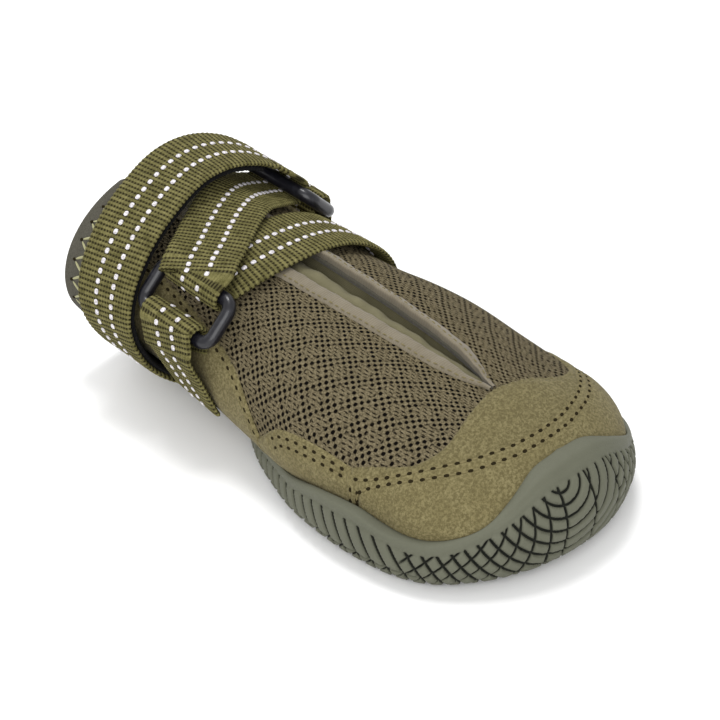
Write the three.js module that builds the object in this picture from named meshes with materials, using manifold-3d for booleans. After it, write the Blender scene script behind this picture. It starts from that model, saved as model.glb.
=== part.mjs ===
// A dog boot lying as it stands on a floor: a moulded rubber cup sole, one hollow sewn upper whose slack
// shaft leans back behind the heel, a stretch gusset in the front slit, and one webbing strap that turns
// back through a plastic loop on each side. Millimetres, +Z up, toe towards -Y, the wearer's left at +X.
// The origin is on the ground under the middle of the forefoot.
import * as THREE from "three";
import Module from "manifold-3d";

const wasm = await Module();
wasm.setup();

// ---- driving dimensions --------------------------------------------------------------------------
const WALL = 2; // cloth wall of the upper: face fabric, foam and lining
const GAP = 0.3; // clearance between pieces that touch
const TOE_Y = -35.5; // foremost point of the upper
const TOE_Z = 14; // height of that point
const BALL_Y = -8; // the sections start here; the toe is rounded in front of it
const SHAFT_END = 100; // where the upper stops and the collar band goes on
const COLLAR_END = 109.5; // free edge of the collar band
const NOTCH_DEPTH = 5; // V notch at the front of the collar
const SLIT_START = -7; // lower end of the front slit
const FOOTBED_START = -31; // the upper's underside is open from here ...
const FOOTBED_END = 54; // ... to here, and the insole lies in the opening
const INSOLE_THICK = 3;
const INSOLE_CLEAR = 4.2; // its edge stays this far inside the edge of the opening
const WEBBING_WIDTH = 19;
const WEBBING_THICK = 1.5;
const LOOP_BAR = 3.4; // thickness of the plastic loops' bars
const LOOP_LENGTH = 28; // along the shaft, over the bars
const LOOP_DEPTH = 15; // around the shaft, over the bars
const LOOP_LIFT = 4.2; // the bars' middle above the skin
const SOLE_CENTRE_Y = 12; // centre that the sole's outline turns about
const TREAD_DEPTH = 1.4; // depth of the grooves in the sole
const ARCH_RISE = 0.9; // height of the hollow under the arch

const OLIVE_FABRIC = 0x6a6448;
const OLIVE_PANEL = 0x7d7550;
const OLIVE_WEBBING = 0x6f6b3c;
const RUBBER = 0x5d6353;
const COLLAR_GREY = 0x55564c;
const PLASTIC = 0x1b1b20;

// ---- tables: one row for each section, with named columns ----------------------------------------
// Returns a function that gives every column at a place, smooth through the rows.
function smoothTable(columns, rows) {
  const keys = rows.map((row) => row[0]);
  const slopes = rows.map((_, i) => {
    const a = rows[Math.max(i - 1, 0)];
    const b = rows[Math.min(i + 1, rows.length - 1)];
    return a.map((value, c) => (b[c] - value) / (b[0] - a[0]));
  });
  return (place) => {
    const at = Math.min(Math.max(place, keys[0]), keys[keys.length - 1]);
    let i = 0;
    while (i < rows.length - 2 && at > keys[i + 1]) i++;
    const span = keys[i + 1] - keys[i];
    const t = (at - keys[i]) / span;
    const a = (1 + 2 * t) * (1 - t) ** 2;
    const b = t * t * (3 - 2 * t);
    const c = t * (1 - t) ** 2 * span;
    const d = t * t * (t - 1) * span;
    const out = {};
    columns.forEach((name, k) => {
      out[name] =
        a * rows[i][k] + b * rows[i + 1][k] + c * slopes[i][k] + d * slopes[i + 1][k];
    });
    return out;
  };
}

// Cross-sections of the upper's outside, square to the foot.
// under and top are the heights of its lowest and highest line, waist is where it is widest, and the last
// two say how square the lower and upper halves are (2 is an ellipse).
const upperSection = smoothTable(
  ["y", "halfWidth", "under", "waist", "top", "squareUnder", "squareTop"],
  [
    [BALL_Y, 33.6, 4.3, 16.5, 34.0, 3.4, 1.85],
    [8, 34.8, 4.3, 17.5, 37.3, 3.4, 1.9],
    [24, 34.2, 4.3, 18.5, 39.6, 3.2, 1.95],
    [40, 32.0, 4.3, 20.0, 41.4, 2.9, 2.0],
    [56, 29.6, 4.6, 22.0, 43.2, 2.4, 2.0],
    [75, 28.4, 6.4, 24.0, 45.0, 2.1, 2.0],
    [95, 28.2, 7.8, 26.0, 47.0, 2.0, 2.0],
    [112, 28.5, 8.4, 27.5, 48.6, 2.0, 2.0],
  ],
);

// Half width of the front slit, and of the opening under the foot.
const slit = smoothTable(
  ["y", "half"],
  [
    [SLIT_START, 1.6],
    [10, 3.6],
    [40, 5.0],
    [75, 6.0],
    [SHAFT_END, 6.5],
  ],
);
const footbed = smoothTable(
  ["y", "half"],
  [
    [FOOTBED_START, 12],
    [-22, 21],
    [-8, 26],
    [12, 27],
    [32, 24],
    [46, 19],
    [FOOTBED_END, 13],
  ],
);

// The sole by the angle from the toe tip, the same on both sides: reach of its ground outline from the
// centre, height of the lip, how far the side wall bulges past the ground outline, how far the lip leans
// back from there, and the spring of the edge above the ground.
const soleEdge = smoothTable(
  ["turn", "reach", "lip", "flare", "lean", "spring"],
  [
    [0, 48.4, 26.0, 2.8, 6.8, 3.0],
    [12, 48.3, 25.0, 2.8, 6.0, 2.8],
    [22, 47.6, 21.5, 2.7, 3.6, 2.2],
    [33, 46.4, 16.6, 2.7, 1.6, 1.4],
    [46, 44.6, 13.5, 2.8, 1.0, 0.6],
    [58, 41.2, 13.4, 2.9, 0.9, 0],
    [72, 37.6, 15.2, 2.9, 0.9, 0],
    [90, 35.0, 14.6, 3.0, 0.9, 0],
    [108, 34.6, 12.2, 2.8, 0.9, 0],
    [124, 35.8, 11.2, 2.4, 0.8, 0],
    [140, 39.4, 9.8, 2.0, 0.7, 0],
    [155, 44.2, 7.8, 1.6, 0.6, 0.4],
    [168, 47.8, 6.0, 1.2, 0.5, 0.8],
    [180, 49.0, 5.4, 1.0, 0.4, 1.0],
  ],
);

// ---- mesh helpers --------------------------------------------------------------------------------
const KEY_SCALE = 1e4;

// A closed mesh from triangles of points: shared corners are merged, collapsed triangles dropped, and a
// mesh that came out inside out is turned.
function closedGeometry(triangles) {
  const sixVolumes = triangles.reduce(
    (sum, [a, b, c]) => sum + a.dot(new THREE.Vector3().crossVectors(b, c)),
    0,
  );
  const places = new Map();
  const positions = [];
  const index = [];
  for (const corners of triangles) {
    const ids = corners.map((p) => {
      const key = [p.x, p.y, p.z].map((v) => Math.round(v * KEY_SCALE)).join(",");
      if (!places.has(key)) {
        places.set(key, positions.length / 3);
        positions.push(p.x, p.y, p.z);
      }
      return places.get(key);
    });
    if (sixVolumes < 0) ids.reverse();
    if (ids[0] !== ids[1] && ids[1] !== ids[2] && ids[2] !== ids[0]) index.push(...ids);
  }
  const geometry = new THREE.BufferGeometry();
  geometry.setAttribute("position", new THREE.Float32BufferAttribute(positions, 3));
  geometry.setIndex(index);
  return geometry;
}

const quad = (a, b, c, d) => [
  [a, b, c],
  [a, c, d],
];

// A sheet with thickness: outside(i, j) and inside(i, j) give its two faces on a grid of rows x columns.
// Only the cells that keep(i, j) accepts are made, and every free edge is closed. Columns may wrap round.
function sheetSolid({ rows, columns, wrap = false, outside, inside, keep = () => true }) {
  const triangles = [];
  const kept = (i, j) => {
    const column = wrap ? (j + columns) % columns : j;
    return i >= 0 && i < rows && column >= 0 && column < columns && keep(i, column);
  };
  const out = [];
  const inn = [];
  for (let i = 0; i <= rows; i++) {
    out.push([]);
    inn.push([]);
    for (let j = 0; j <= columns; j++) {
      const column = wrap ? j % columns : j;
      out[i].push(outside(i, column));
      inn[i].push(inside(i, column));
    }
  }
  for (let i = 0; i < rows; i++) {
    for (let j = 0; j < columns; j++) {
      if (!kept(i, j)) continue;
      triangles.push(...quad(out[i][j], out[i][j + 1], out[i + 1][j + 1], out[i + 1][j]));
      triangles.push(...quad(inn[i][j], inn[i + 1][j], inn[i + 1][j + 1], inn[i][j + 1]));
      if (!kept(i - 1, j)) triangles.push(...quad(out[i][j], inn[i][j], inn[i][j + 1], out[i][j + 1]));
      if (!kept(i + 1, j)) {
        triangles.push(
          ...quad(out[i + 1][j + 1], inn[i + 1][j + 1], inn[i + 1][j], out[i + 1][j]),
        );
      }
      if (!kept(i, j - 1)) triangles.push(...quad(out[i + 1][j], inn[i + 1][j], inn[i][j], out[i][j]));
      if (!kept(i, j + 1)) {
        triangles.push(
          ...quad(out[i][j + 1], inn[i][j + 1], inn[i + 1][j + 1], out[i + 1][j + 1]),
        );
      }
    }
  }
  return closedGeometry(triangles);
}

function toManifold(geometry) {
  const merged = geometry.index ? geometry : closedGeometry(trianglesOf(geometry));
  return new wasm.Manifold(
    new wasm.Mesh({
      numProp: 3,
      vertProperties: new Float32Array(merged.attributes.position.array),
      triVerts: new Uint32Array(merged.index.array),
    }),
  );
}

function trianglesOf(geometry) {
  const flat = geometry.index ? geometry.toNonIndexed() : geometry;
  const at = flat.attributes.position;
  const triangles = [];
  for (let i = 0; i < at.count; i += 3) {
    triangles.push([0, 1, 2].map((k) => new THREE.Vector3().fromBufferAttribute(at, i + k)));
  }
  return triangles;
}

function fromManifold(solid) {
  const mesh = solid.getMesh();
  const geometry = new THREE.BufferGeometry();
  geometry.setAttribute("position", new THREE.BufferAttribute(mesh.vertProperties, 3));
  geometry.setIndex(new THREE.BufferAttribute(mesh.triVerts, 1));
  return geometry;
}

// ---- the last: one skin that every piece is measured from ----------------------------------------
const TOE_SIDE_POWER = 2.15;
const TOE_TOP_POWER = 1.6;
const TOE_UNDER_POWER = 2.8;

// The section at y; in front of the ball it closes in on the toe point with rounded profiles.
function sectionAt(y) {
  if (y >= BALL_Y) return upperSection(y);
  const ball = upperSection(BALL_Y);
  const t = Math.max((y - TOE_Y) / (BALL_Y - TOE_Y), 0);
  const round = (power) => (1 - (1 - t) ** power) ** (1 / power);
  return {
    ...ball,
    y,
    halfWidth: ball.halfWidth * round(TOE_SIDE_POWER),
    under: TOE_Z - (TOE_Z - ball.under) * round(TOE_UNDER_POWER),
    waist: TOE_Z + (ball.waist - TOE_Z) * t,
    top: TOE_Z + (ball.top - TOE_Z) * round(TOE_TOP_POWER),
  };
}

// The point on a section at an angle: 0 is the left waist, 90 the top line, 180 the right waist, and
// -90 the line underneath. grow moves it out (or in) from the skin.
function pointOn(section, degrees, grow = 0) {
  const angle = THREE.MathUtils.degToRad(degrees);
  const across = Math.cos(angle);
  const up = Math.sin(angle);
  const reach = up > 0 ? section.top - section.waist : section.waist - section.under;
  const power = up > 0 ? section.squareTop : section.squareUnder;
  const wide = Math.max(section.halfWidth + grow, 0.01);
  const high = Math.max(reach + grow, 0.01);
  const r = (Math.abs(across / wide) ** power + Math.abs(up / high) ** power) ** (-1 / power);
  return new THREE.Vector3(r * across, section.y, section.waist + r * up);
}

const skinPoint = (y, degrees, grow = 0) => pointOn({ ...sectionAt(y), y }, degrees, grow);

// The angle, between from and to, at which the skin is half wide from the middle line.
function angleAtHalf(y, half, from, to, grow = 0) {
  let near = from;
  let far = to;
  for (let k = 0; k < 30; k++) {
    const middle = (near + far) / 2;
    if (Math.abs(skinPoint(y, middle, grow).x) < half) near = middle;
    else far = middle;
  }
  return (near + far) / 2;
}

// ---- rows and columns of the upper ---------------------------------------------------------------
const TOE_ROWS = 8;
const FOOT_ROWS = 24;
const UNDER_COLUMNS = 3; // from the middle line underneath to the edge of the footbed opening
const SIDE_COLUMNS = 13; // from there to the edge of the slit
const TOP_COLUMNS = 2; // from there to the middle line on top
const HALF_COLUMNS = UNDER_COLUMNS + SIDE_COLUMNS + TOP_COLUMNS;

const rowPlaces = [];
for (let i = 0; i < TOE_ROWS; i++) {
  rowPlaces.push(TOE_Y + (BALL_Y - TOE_Y) * (1 - Math.cos((i / TOE_ROWS) * (Math.PI / 2))));
}
for (let i = 0; i <= FOOT_ROWS; i++) rowPlaces.push(BALL_Y + ((SHAFT_END - BALL_Y) * i) / FOOT_ROWS);
// Three rows are moved on to the ends of the openings.
for (const end of [FOOTBED_START, SLIT_START, FOOTBED_END]) {
  let nearest = 1;
  rowPlaces.forEach((y, i) => {
    if (Math.abs(y - end) < Math.abs(rowPlaces[nearest] - end)) nearest = i;
  });
  rowPlaces[nearest] = end;
}

// The angles of one half section's columns, from -90 underneath to 90 on top. The two limits keep the
// columns apart where the toe closes in.
const UNDER_LIMIT = 0.8; // of the half width
const TOP_LIMIT = 0.2;
function columnAngles(y) {
  const { halfWidth } = sectionAt(y);
  const underHalf = Math.min(footbed(y).half, halfWidth * UNDER_LIMIT);
  const topHalf = Math.min(slit(y).half, halfWidth * TOP_LIMIT);
  const underEdge = angleAtHalf(y, underHalf, -90, 0);
  const topEdge = angleAtHalf(y, topHalf, 90, 0);
  const angles = [];
  for (let j = 0; j < UNDER_COLUMNS; j++) angles.push(-90 + ((underEdge + 90) * j) / UNDER_COLUMNS);
  for (let j = 0; j < SIDE_COLUMNS; j++) {
    angles.push(underEdge + ((topEdge - underEdge) * j) / SIDE_COLUMNS);
  }
  for (let j = 0; j <= TOP_COLUMNS; j++) angles.push(topEdge + ((90 - topEdge) * j) / TOP_COLUMNS);
  return angles;
}
const angleRows = rowPlaces.map(columnAngles);

// Column j runs all round: up the left side and down the right.
function ringAngle(i, j) {
  if (j <= HALF_COLUMNS) return angleRows[i][j];
  return 180 - angleRows[i][2 * HALF_COLUMNS - j];
}

const isUnder = (j) => j < UNDER_COLUMNS || j >= 2 * HALF_COLUMNS - UNDER_COLUMNS;
const isTop = (j) => j >= HALF_COLUMNS - TOP_COLUMNS && j < HALF_COLUMNS + TOP_COLUMNS;
const inSpan = (i, from, to) => rowPlaces[i] >= from - 0.01 && rowPlaces[i + 1] <= to + 0.01;

// A corner of the upper's grid, moved out (or in) from the skin; at the toe it moves along the foot too.
function gridPoint(i, j, grow = 0) {
  const y = rowPlaces[i];
  const p = skinPoint(y, ringAngle(i, j), i === 0 ? 0 : grow);
  const behindToe = Math.min(Math.max((y - TOE_Y) / (BALL_Y - TOE_Y), 0), 1);
  p.y -= grow * (1 - behindToe) ** 2;
  return p;
}

function upperGeometry() {
  return sheetSolid({
    rows: rowPlaces.length - 1,
    columns: 2 * HALF_COLUMNS,
    wrap: true,
    outside: (i, j) => gridPoint(i, j),
    inside: (i, j) => gridPoint(i, j, -WALL),
    keep: (i, j) => {
      if (isUnder(j) && inSpan(i, FOOTBED_START, FOOTBED_END)) return false;
      return !(isTop(j) && inSpan(i, SLIT_START, SHAFT_END));
    },
  });
}

// ---- sole and insole -----------------------------------------------------------------------------
const SOLE_STEPS = 64;

// A point of the sole by its turn from the toe tip (0 to 360), its reach from the centre and its height.
function solePoint(turn, reach, z) {
  const angle = THREE.MathUtils.degToRad(turn);
  return new THREE.Vector3(reach * Math.sin(angle), SOLE_CENTRE_Y - reach * Math.cos(angle), z);
}

// The sole's whole outside as a filled form: rings from the middle of the underside, out to the edge, up
// the side wall to the lip, and back in over the top.
function soleForm() {
  const rise = (e, share) => e.spring + (e.lip - e.spring) * share;
  const rings = [
    (e) => ({ reach: e.reach * 0.55, z: 0 }),
    (e) => ({ reach: e.reach * 0.8, z: e.spring * 0.15 }),
    (e) => ({ reach: e.reach - 1.4, z: e.spring * 0.85 }),
    (e) => ({ reach: e.reach, z: e.spring + 1.0 }),
    (e) => ({ reach: e.reach + e.flare * 0.7, z: rise(e, 0.28) }),
    (e) => ({ reach: e.reach + e.flare, z: rise(e, 0.5) }),
    (e) => ({ reach: e.reach + e.flare - e.lean * 0.22, z: rise(e, 0.72) }),
    (e) => ({ reach: e.reach + e.flare - e.lean * 0.6, z: rise(e, 0.9) }),
    (e) => ({ reach: e.reach + e.flare - e.lean, z: e.lip }),
    (e) => ({ reach: e.reach + e.flare - e.lean - 8, z: e.lip - 0.6 }),
  ];
  const under = new THREE.Vector3(0, SOLE_CENTRE_Y, 0);
  const over = new THREE.Vector3(0, SOLE_CENTRE_Y, 14);
  const grid = rings.map((ring) => {
    const points = [];
    for (let s = 0; s < SOLE_STEPS; s++) {
      const turn = (s * 360) / SOLE_STEPS;
      const { reach, z } = ring(soleEdge(Math.min(turn, 360 - turn)));
      points.push(solePoint(turn, reach, z));
    }
    return points;
  });
  const triangles = [];
  for (let s = 0; s < SOLE_STEPS; s++) {
    const next = (s + 1) % SOLE_STEPS;
    triangles.push([under, grid[0][next], grid[0][s]]);
    for (let r = 0; r + 1 < grid.length; r++) {
      triangles.push(...quad(grid[r][s], grid[r][next], grid[r + 1][next], grid[r + 1][s]));
    }
    triangles.push([over, grid[grid.length - 1][s], grid[grid.length - 1][next]]);
  }
  return closedGeometry(triangles);
}

// The filled form of the upper on the upper's own rows and columns, grown by the gap that the cup keeps.
const LAST_FORM_END = 80; // behind the heel end of the cup
function lastForm() {
  const columns = 2 * HALF_COLUMNS;
  const rings = [];
  rowPlaces.forEach((y, i) => {
    if (i === 0 || y > LAST_FORM_END) return;
    rings.push(Array.from({ length: columns }, (_, j) => gridPoint(i, j, GAP)));
  });
  const start = new THREE.Vector3(0, TOE_Y - GAP, TOE_Z);
  const last = rings.length - 1;
  const end = rings[last][0].clone().add(rings[last][HALF_COLUMNS]).multiplyScalar(0.5);
  const triangles = [];
  for (let j = 0; j < columns; j++) {
    const next = (j + 1) % columns;
    triangles.push([start, rings[0][j], rings[0][next]]);
    for (let r = 0; r < last; r++) {
      triangles.push(...quad(rings[r][j], rings[r + 1][j], rings[r + 1][next], rings[r][next]));
    }
    triangles.push([end, rings[last][next], rings[last][j]]);
  }
  return closedGeometry(triangles);
}

// Grooves between the lugs: arcs across the tread about one centre behind the toe.
const GROOVE_CENTRE_Y = -52;
const GROOVE_REACHES = [24, 34, 44, 66, 76, 98, 106];
const GROOVE_WIDTH = 2.2;
const GROOVE_SPREAD = 68; // degrees to each side of the middle line
const GROOVE_BELOW = 4; // how far the cutting form starts below the ground

function grooveGeometry(reach) {
  const spread = THREE.MathUtils.degToRad(GROOVE_SPREAD);
  const from = Math.PI / 2 - spread;
  const to = Math.PI / 2 + spread;
  const shape = new THREE.Shape();
  shape.absarc(0, 0, reach + GROOVE_WIDTH / 2, from, to, false);
  shape.absarc(0, 0, reach - GROOVE_WIDTH / 2, to, from, true);
  const groove = new THREE.ExtrudeGeometry(shape, {
    depth: TREAD_DEPTH + GROOVE_BELOW,
    bevelEnabled: false,
    curveSegments: 12,
  });
  groove.translate(0, GROOVE_CENTRE_Y, -GROOVE_BELOW);
  return groove;
}

// A wide shallow hollow across the sole between forefoot and heel.
const ARCH_RADIUS = 90;
const ARCH_Y = 32;
const ARCH_WIDTH = 120;
const ARCH_SIDES = 180;

function archGeometry() {
  const arch = new THREE.CylinderGeometry(ARCH_RADIUS, ARCH_RADIUS, ARCH_WIDTH, ARCH_SIDES);
  arch.rotateZ(Math.PI / 2);
  arch.translate(0, ARCH_Y, ARCH_RISE - ARCH_RADIUS);
  return arch;
}

function outsoleGeometry() {
  let solid = toManifold(soleForm()).subtract(toManifold(lastForm()));
  solid = solid.subtract(toManifold(closedGeometry(trianglesOf(archGeometry()))));
  for (const reach of GROOVE_REACHES) {
    solid = solid.subtract(toManifold(closedGeometry(trianglesOf(grooveGeometry(reach)))));
  }
  return fromManifold(solid);
}

function insoleGeometry() {
  const ROWS = 14;
  const COLUMNS = 6;
  const from = FOOTBED_START + 2 * INSOLE_CLEAR;
  const place = (i) => from + ((FOOTBED_END - GAP - from) * i) / ROWS;
  const face = (grow) => (i, j) => {
    const y = place(i);
    const half = footbed(y).half - INSOLE_CLEAR;
    const x = half * (1 - (2 * j) / COLUMNS);
    const angle = angleAtHalf(y, Math.abs(x), -90, 0);
    const p = skinPoint(y, angle);
    return new THREE.Vector3(x, y, p.z + grow);
  };
  return sheetSolid({
    rows: ROWS,
    columns: COLUMNS,
    outside: face(GAP),
    inside: face(GAP + INSOLE_THICK),
  });
}

// ---- gusset and collar ---------------------------------------------------------------------------
const GUSSET_THICK = 1.2;
const GUSSET_LAP = 5; // how far it is sewn in behind the edges of the slit
const GUSSET_FOLD = 2.4; // how far its middle is folded down into the boot
const FOLD_SHARPNESS = 2.2; // the fold fills this much less than the gusset's width

function gussetGeometry() {
  const ROWS = 20;
  const COLUMNS = 8;
  const from = SLIT_START - 3;
  const place = (i) => from + ((SHAFT_END - 1 - from) * i) / ROWS;
  const face = (depth) => (i, j) => {
    const y = place(i);
    const half = slit(y).half + GUSSET_LAP;
    const across = 1 - (2 * j) / COLUMNS;
    const sink = WALL + GAP + depth;
    const angle = angleAtHalf(y, Math.abs(across) * half, 90, 0, -sink);
    const p = skinPoint(y, across < 0 ? 180 - angle : angle, -sink);
    p.z -= GUSSET_FOLD * Math.max(0, 1 - (FOLD_SHARPNESS * Math.abs(across)) ** 2);
    return p;
  };
  return sheetSolid({
    rows: ROWS,
    columns: COLUMNS,
    outside: face(0),
    inside: face(GUSSET_THICK),
  });
}

const COLLAR_PROUD = 0.6; // the band stands this far outside the shaft's skin
const COLLAR_THICK = 3;
const COLLAR_ROUND = 0.7; // how much its edges are drawn in
const NOTCH_SPREAD = 22; // degrees to each side of the front line

function collarGeometry() {
  const ROWS = 3;
  const COLUMNS = 40;
  const angleOf = (j) => 90 + (j * 360) / COLUMNS;
  const from = SHAFT_END + GAP;
  const face = (grow) => (i, j) => {
    const angle = angleOf(j);
    const away = Math.min(Math.abs(angle - 90), Math.abs(angle - 450));
    const end = COLLAR_END - NOTCH_DEPTH * Math.max(0, 1 - away / NOTCH_SPREAD);
    const y = from + ((end - from) * i) / ROWS;
    const rounded = i === ROWS || i === 0 ? COLLAR_ROUND : 0;
    return skinPoint(y, angle, grow > 0 ? grow - rounded : grow + rounded);
  };
  return sheetSolid({
    rows: ROWS,
    columns: COLUMNS,
    wrap: true,
    outside: face(COLLAR_PROUD),
    inside: face(COLLAR_PROUD - COLLAR_THICK),
  });
}

// ---- plastic loops -------------------------------------------------------------------------------
// The two loops lie on the shaft. A frame gives one loop's middle, its long way along the shaft, its short
// way round the shaft, and the way out from the skin.
function frameOnSkin({ y, angle }) {
  const at = skinPoint(y, angle, LOOP_LIFT);
  const long = skinPoint(y + 8, angle, LOOP_LIFT).sub(skinPoint(y - 8, angle, LOOP_LIFT)).normalize();
  const across = skinPoint(y, angle + 5, LOOP_LIFT).sub(skinPoint(y, angle - 5, LOOP_LIFT));
  const around = across.addScaledVector(long, -across.dot(long)).normalize();
  return { at, long, around, out: new THREE.Vector3().crossVectors(long, around) };
}
const LOOP_RIGHT = frameOnSkin({ y: 64.8, angle: 150 });
const LOOP_LEFT = frameOnSkin({ y: 85.2, angle: 31 });

// A rectangular loop with round bars and rounded corners.
function loopGeometry() {
  const BAR_SIDES = 8;
  const CORNER_STEPS = 4;
  const CORNER_RADIUS = 3;
  const halfLong = (LOOP_LENGTH - LOOP_BAR) / 2;
  const halfDeep = (LOOP_DEPTH - LOOP_BAR) / 2;
  const path = [];
  const corners = [
    { x: 1, y: 1, turn: 0 },
    { x: -1, y: 1, turn: 90 },
    { x: -1, y: -1, turn: 180 },
    { x: 1, y: -1, turn: 270 },
  ];
  for (const { x, y, turn } of corners) {
    for (let k = 0; k <= CORNER_STEPS; k++) {
      const angle = THREE.MathUtils.degToRad(turn + (90 * k) / CORNER_STEPS);
      const out = new THREE.Vector3(Math.cos(angle), Math.sin(angle), 0);
      const at = new THREE.Vector3(x * (halfLong - CORNER_RADIUS), y * (halfDeep - CORNER_RADIUS), 0);
      path.push({ at: at.addScaledVector(out, CORNER_RADIUS), out });
    }
  }
  const point = (i, j) => {
    const { at, out } = path[i % path.length];
    const angle = (j * 2 * Math.PI) / BAR_SIDES;
    const p = at.clone().addScaledVector(out, (LOOP_BAR / 2) * Math.cos(angle));
    p.z += (LOOP_BAR / 2) * Math.sin(angle);
    return p;
  };
  const triangles = [];
  for (let i = 0; i < path.length; i++) {
    for (let j = 0; j < BAR_SIDES; j++) {
      triangles.push(...quad(point(i, j), point(i + 1, j), point(i + 1, j + 1), point(i, j + 1)));
    }
  }
  return closedGeometry(triangles);
}

function layLoop(mesh, frame) {
  mesh.matrixAutoUpdate = false;
  mesh.matrix.makeBasis(frame.long, frame.around, frame.out).setPosition(frame.at);
  return mesh;
}

// ---- webbing -------------------------------------------------------------------------------------
// A webbing is made from cuts across it: the middle of its thickness, and the way along its width.
// on() gives the cuts of a stretch that lies on or over the shaft, through a few stations.
const station = (angle, y, lift) => new THREE.Vector3(angle, y, lift);

function on(stations, steps) {
  const path = new THREE.CatmullRomCurve3(stations, false, "centripetal");
  return path.getPoints(steps).map(({ x: angle, y, z: lift }) => {
    const at = skinPoint(y, angle, lift);
    const side = skinPoint(y + 2, angle, lift).sub(skinPoint(y - 2, angle, lift));
    return { at, side: side.normalize() };
  });
}

// round() gives the cuts of half a turn round one long bar of a loop, from under the bar to over it. which
// is the bar's side of the loop, and the turn bulges into the loop's opening.
const TURN_RADIUS = LOOP_BAR / 2 + 1.5 * GAP + WEBBING_THICK / 2;
const TURN_STEPS = 9;
const TURN_FROM = -85; // degrees

function round(frame, which, to = 90) {
  const bar = frame.at.clone().addScaledVector(frame.around, (which * (LOOP_DEPTH - LOOP_BAR)) / 2);
  return Array.from({ length: TURN_STEPS + 1 }, (_, k) => {
    const angle = THREE.MathUtils.degToRad(TURN_FROM + ((to - TURN_FROM) * k) / TURN_STEPS);
    const at = bar.clone().addScaledVector(frame.around, -which * TURN_RADIUS * Math.cos(angle));
    at.addScaledVector(frame.out, TURN_RADIUS * Math.sin(angle));
    return { at, side: frame.long.clone() };
  });
}

function webbingGeometry(cuts, width = WEBBING_WIDTH, thick = WEBBING_THICK) {
  const ACROSS = 2;
  const last = cuts.length - 1;
  const frames = cuts.map(({ side }, i) => {
    const along = cuts[Math.min(i + 1, last)].at.clone().sub(cuts[Math.max(i - 1, 0)].at).normalize();
    const across = side.clone().addScaledVector(along, -side.dot(along)).normalize();
    return { across, out: new THREE.Vector3().crossVectors(across, along) };
  });
  const face = (grow) => (i, j) =>
    cuts[i].at
      .clone()
      .addScaledVector(frames[i].out, grow)
      .addScaledVector(frames[i].across, width * (0.5 - j / ACROSS));
  return sheetSolid({ rows: last, columns: ACROSS, outside: face(thick / 2), inside: face(-thick / 2) });
}

const NEAR_SKIN = 1.35; // height of a webbing's middle where it lies on the shaft
const OVER_ONE = 3.4; // the same where it lies over another webbing
const ANCHOR_WIDTH = 18;
const PATCH_WIDTH = 20;

// The lowest pass: sewn low on the left side, over the front to the right-hand loop.
const lowerCuts = on(
  [
    station(-26, 62, NEAR_SKIN),
    station(10, 60.5, NEAR_SKIN),
    station(50, 60.5, NEAR_SKIN),
    station(90, 60.5, NEAR_SKIN),
    station(110, 61.6, NEAR_SKIN),
    station(124, 63, NEAR_SKIN),
  ],
  24,
);
// The middle pass: round the right-hand loop's upper bar and back over the front to the left-hand loop.
const middleCuts = [
  ...on([station(127.5, 63.6, NEAR_SKIN), station(134, 64.5, NEAR_SKIN + 0.2)], 2),
  ...round(LOOP_RIGHT, -1, 115),
  ...on(
    [
      station(130, 67.0, 6.2),
      station(120, 69.8, 4.6),
      station(107, 73.4, OVER_ONE + 0.2),
      station(80, 79, OVER_ONE),
      station(56, 83.5, NEAR_SKIN + 0.3),
    ],
    16,
  ),
];
// The upper pass: round the left-hand loop's upper bar, in a slack arch over the front, and down the right
// side to the back, where it closes on the patch.
const upperCuts = [
  ...on([station(51.5, 84, NEAR_SKIN + 0.3), station(46, 84.6, NEAR_SKIN + 0.2)], 2),
  ...round(LOOP_LEFT, 1),
  ...on(
    [
      station(51, 87.2, 8.6),
      station(62, 89, 9.6),
      station(78, 90.5, 10.2),
      station(95, 91, 9.8),
      station(120, 90, 8.2),
      station(145, 88.5, 7.4),
      station(172, 87, 6.2),
      station(190, 85, 4.0),
      station(207, 83, 2.2),
      station(228, 82, 1.5),
      station(262, 82, 1.6),
      station(278, 82.5, OVER_ONE),
      station(318, 84, OVER_ONE),
    ],
    46,
  ),
];
// The tabs that hold the loops, each turned round its loop's lower bar and sewn down below it.
const anchorRightCuts = [
  ...on([station(171, 64.2, NEAR_SKIN), station(167, 64.6, NEAR_SKIN)], 1),
  ...round(LOOP_RIGHT, 1, 115),
  ...on(
    [
      station(170, 64.0, 5.8),
      station(179, 63.0, 2.9),
      station(189, 62.0, NEAR_SKIN),
      station(200, 61, NEAR_SKIN),
    ],
    10,
  ),
];
const anchorLeftCuts = [
  ...on([station(8, 85.6, NEAR_SKIN), station(14, 85.4, NEAR_SKIN)], 2),
  ...round(LOOP_LEFT, -1, 115),
  ...on([station(10, 85.8, 5.4), station(5, 86, 3.8), station(0, 86, OVER_ONE)], 5),
];
// The hook patch that the strap's end closes on, low on the left side and round to the back.
const patchCuts = on(
  [station(5, 86, NEAR_SKIN), station(-35, 86, NEAR_SKIN), station(-82, 85, NEAR_SKIN)],
  14,
);

// ---- assembly ------------------------------------------------------------------------------------
function material(color, roughness, metalness = 0) {
  return new THREE.MeshStandardMaterial({ color, roughness, metalness, flatShading: true });
}

const boot = new THREE.Group();

function addPiece(name, geometry, finish) {
  const mesh = new THREE.Mesh(geometry, finish);
  mesh.name = name;
  boot.add(mesh);
  return mesh;
}

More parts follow.
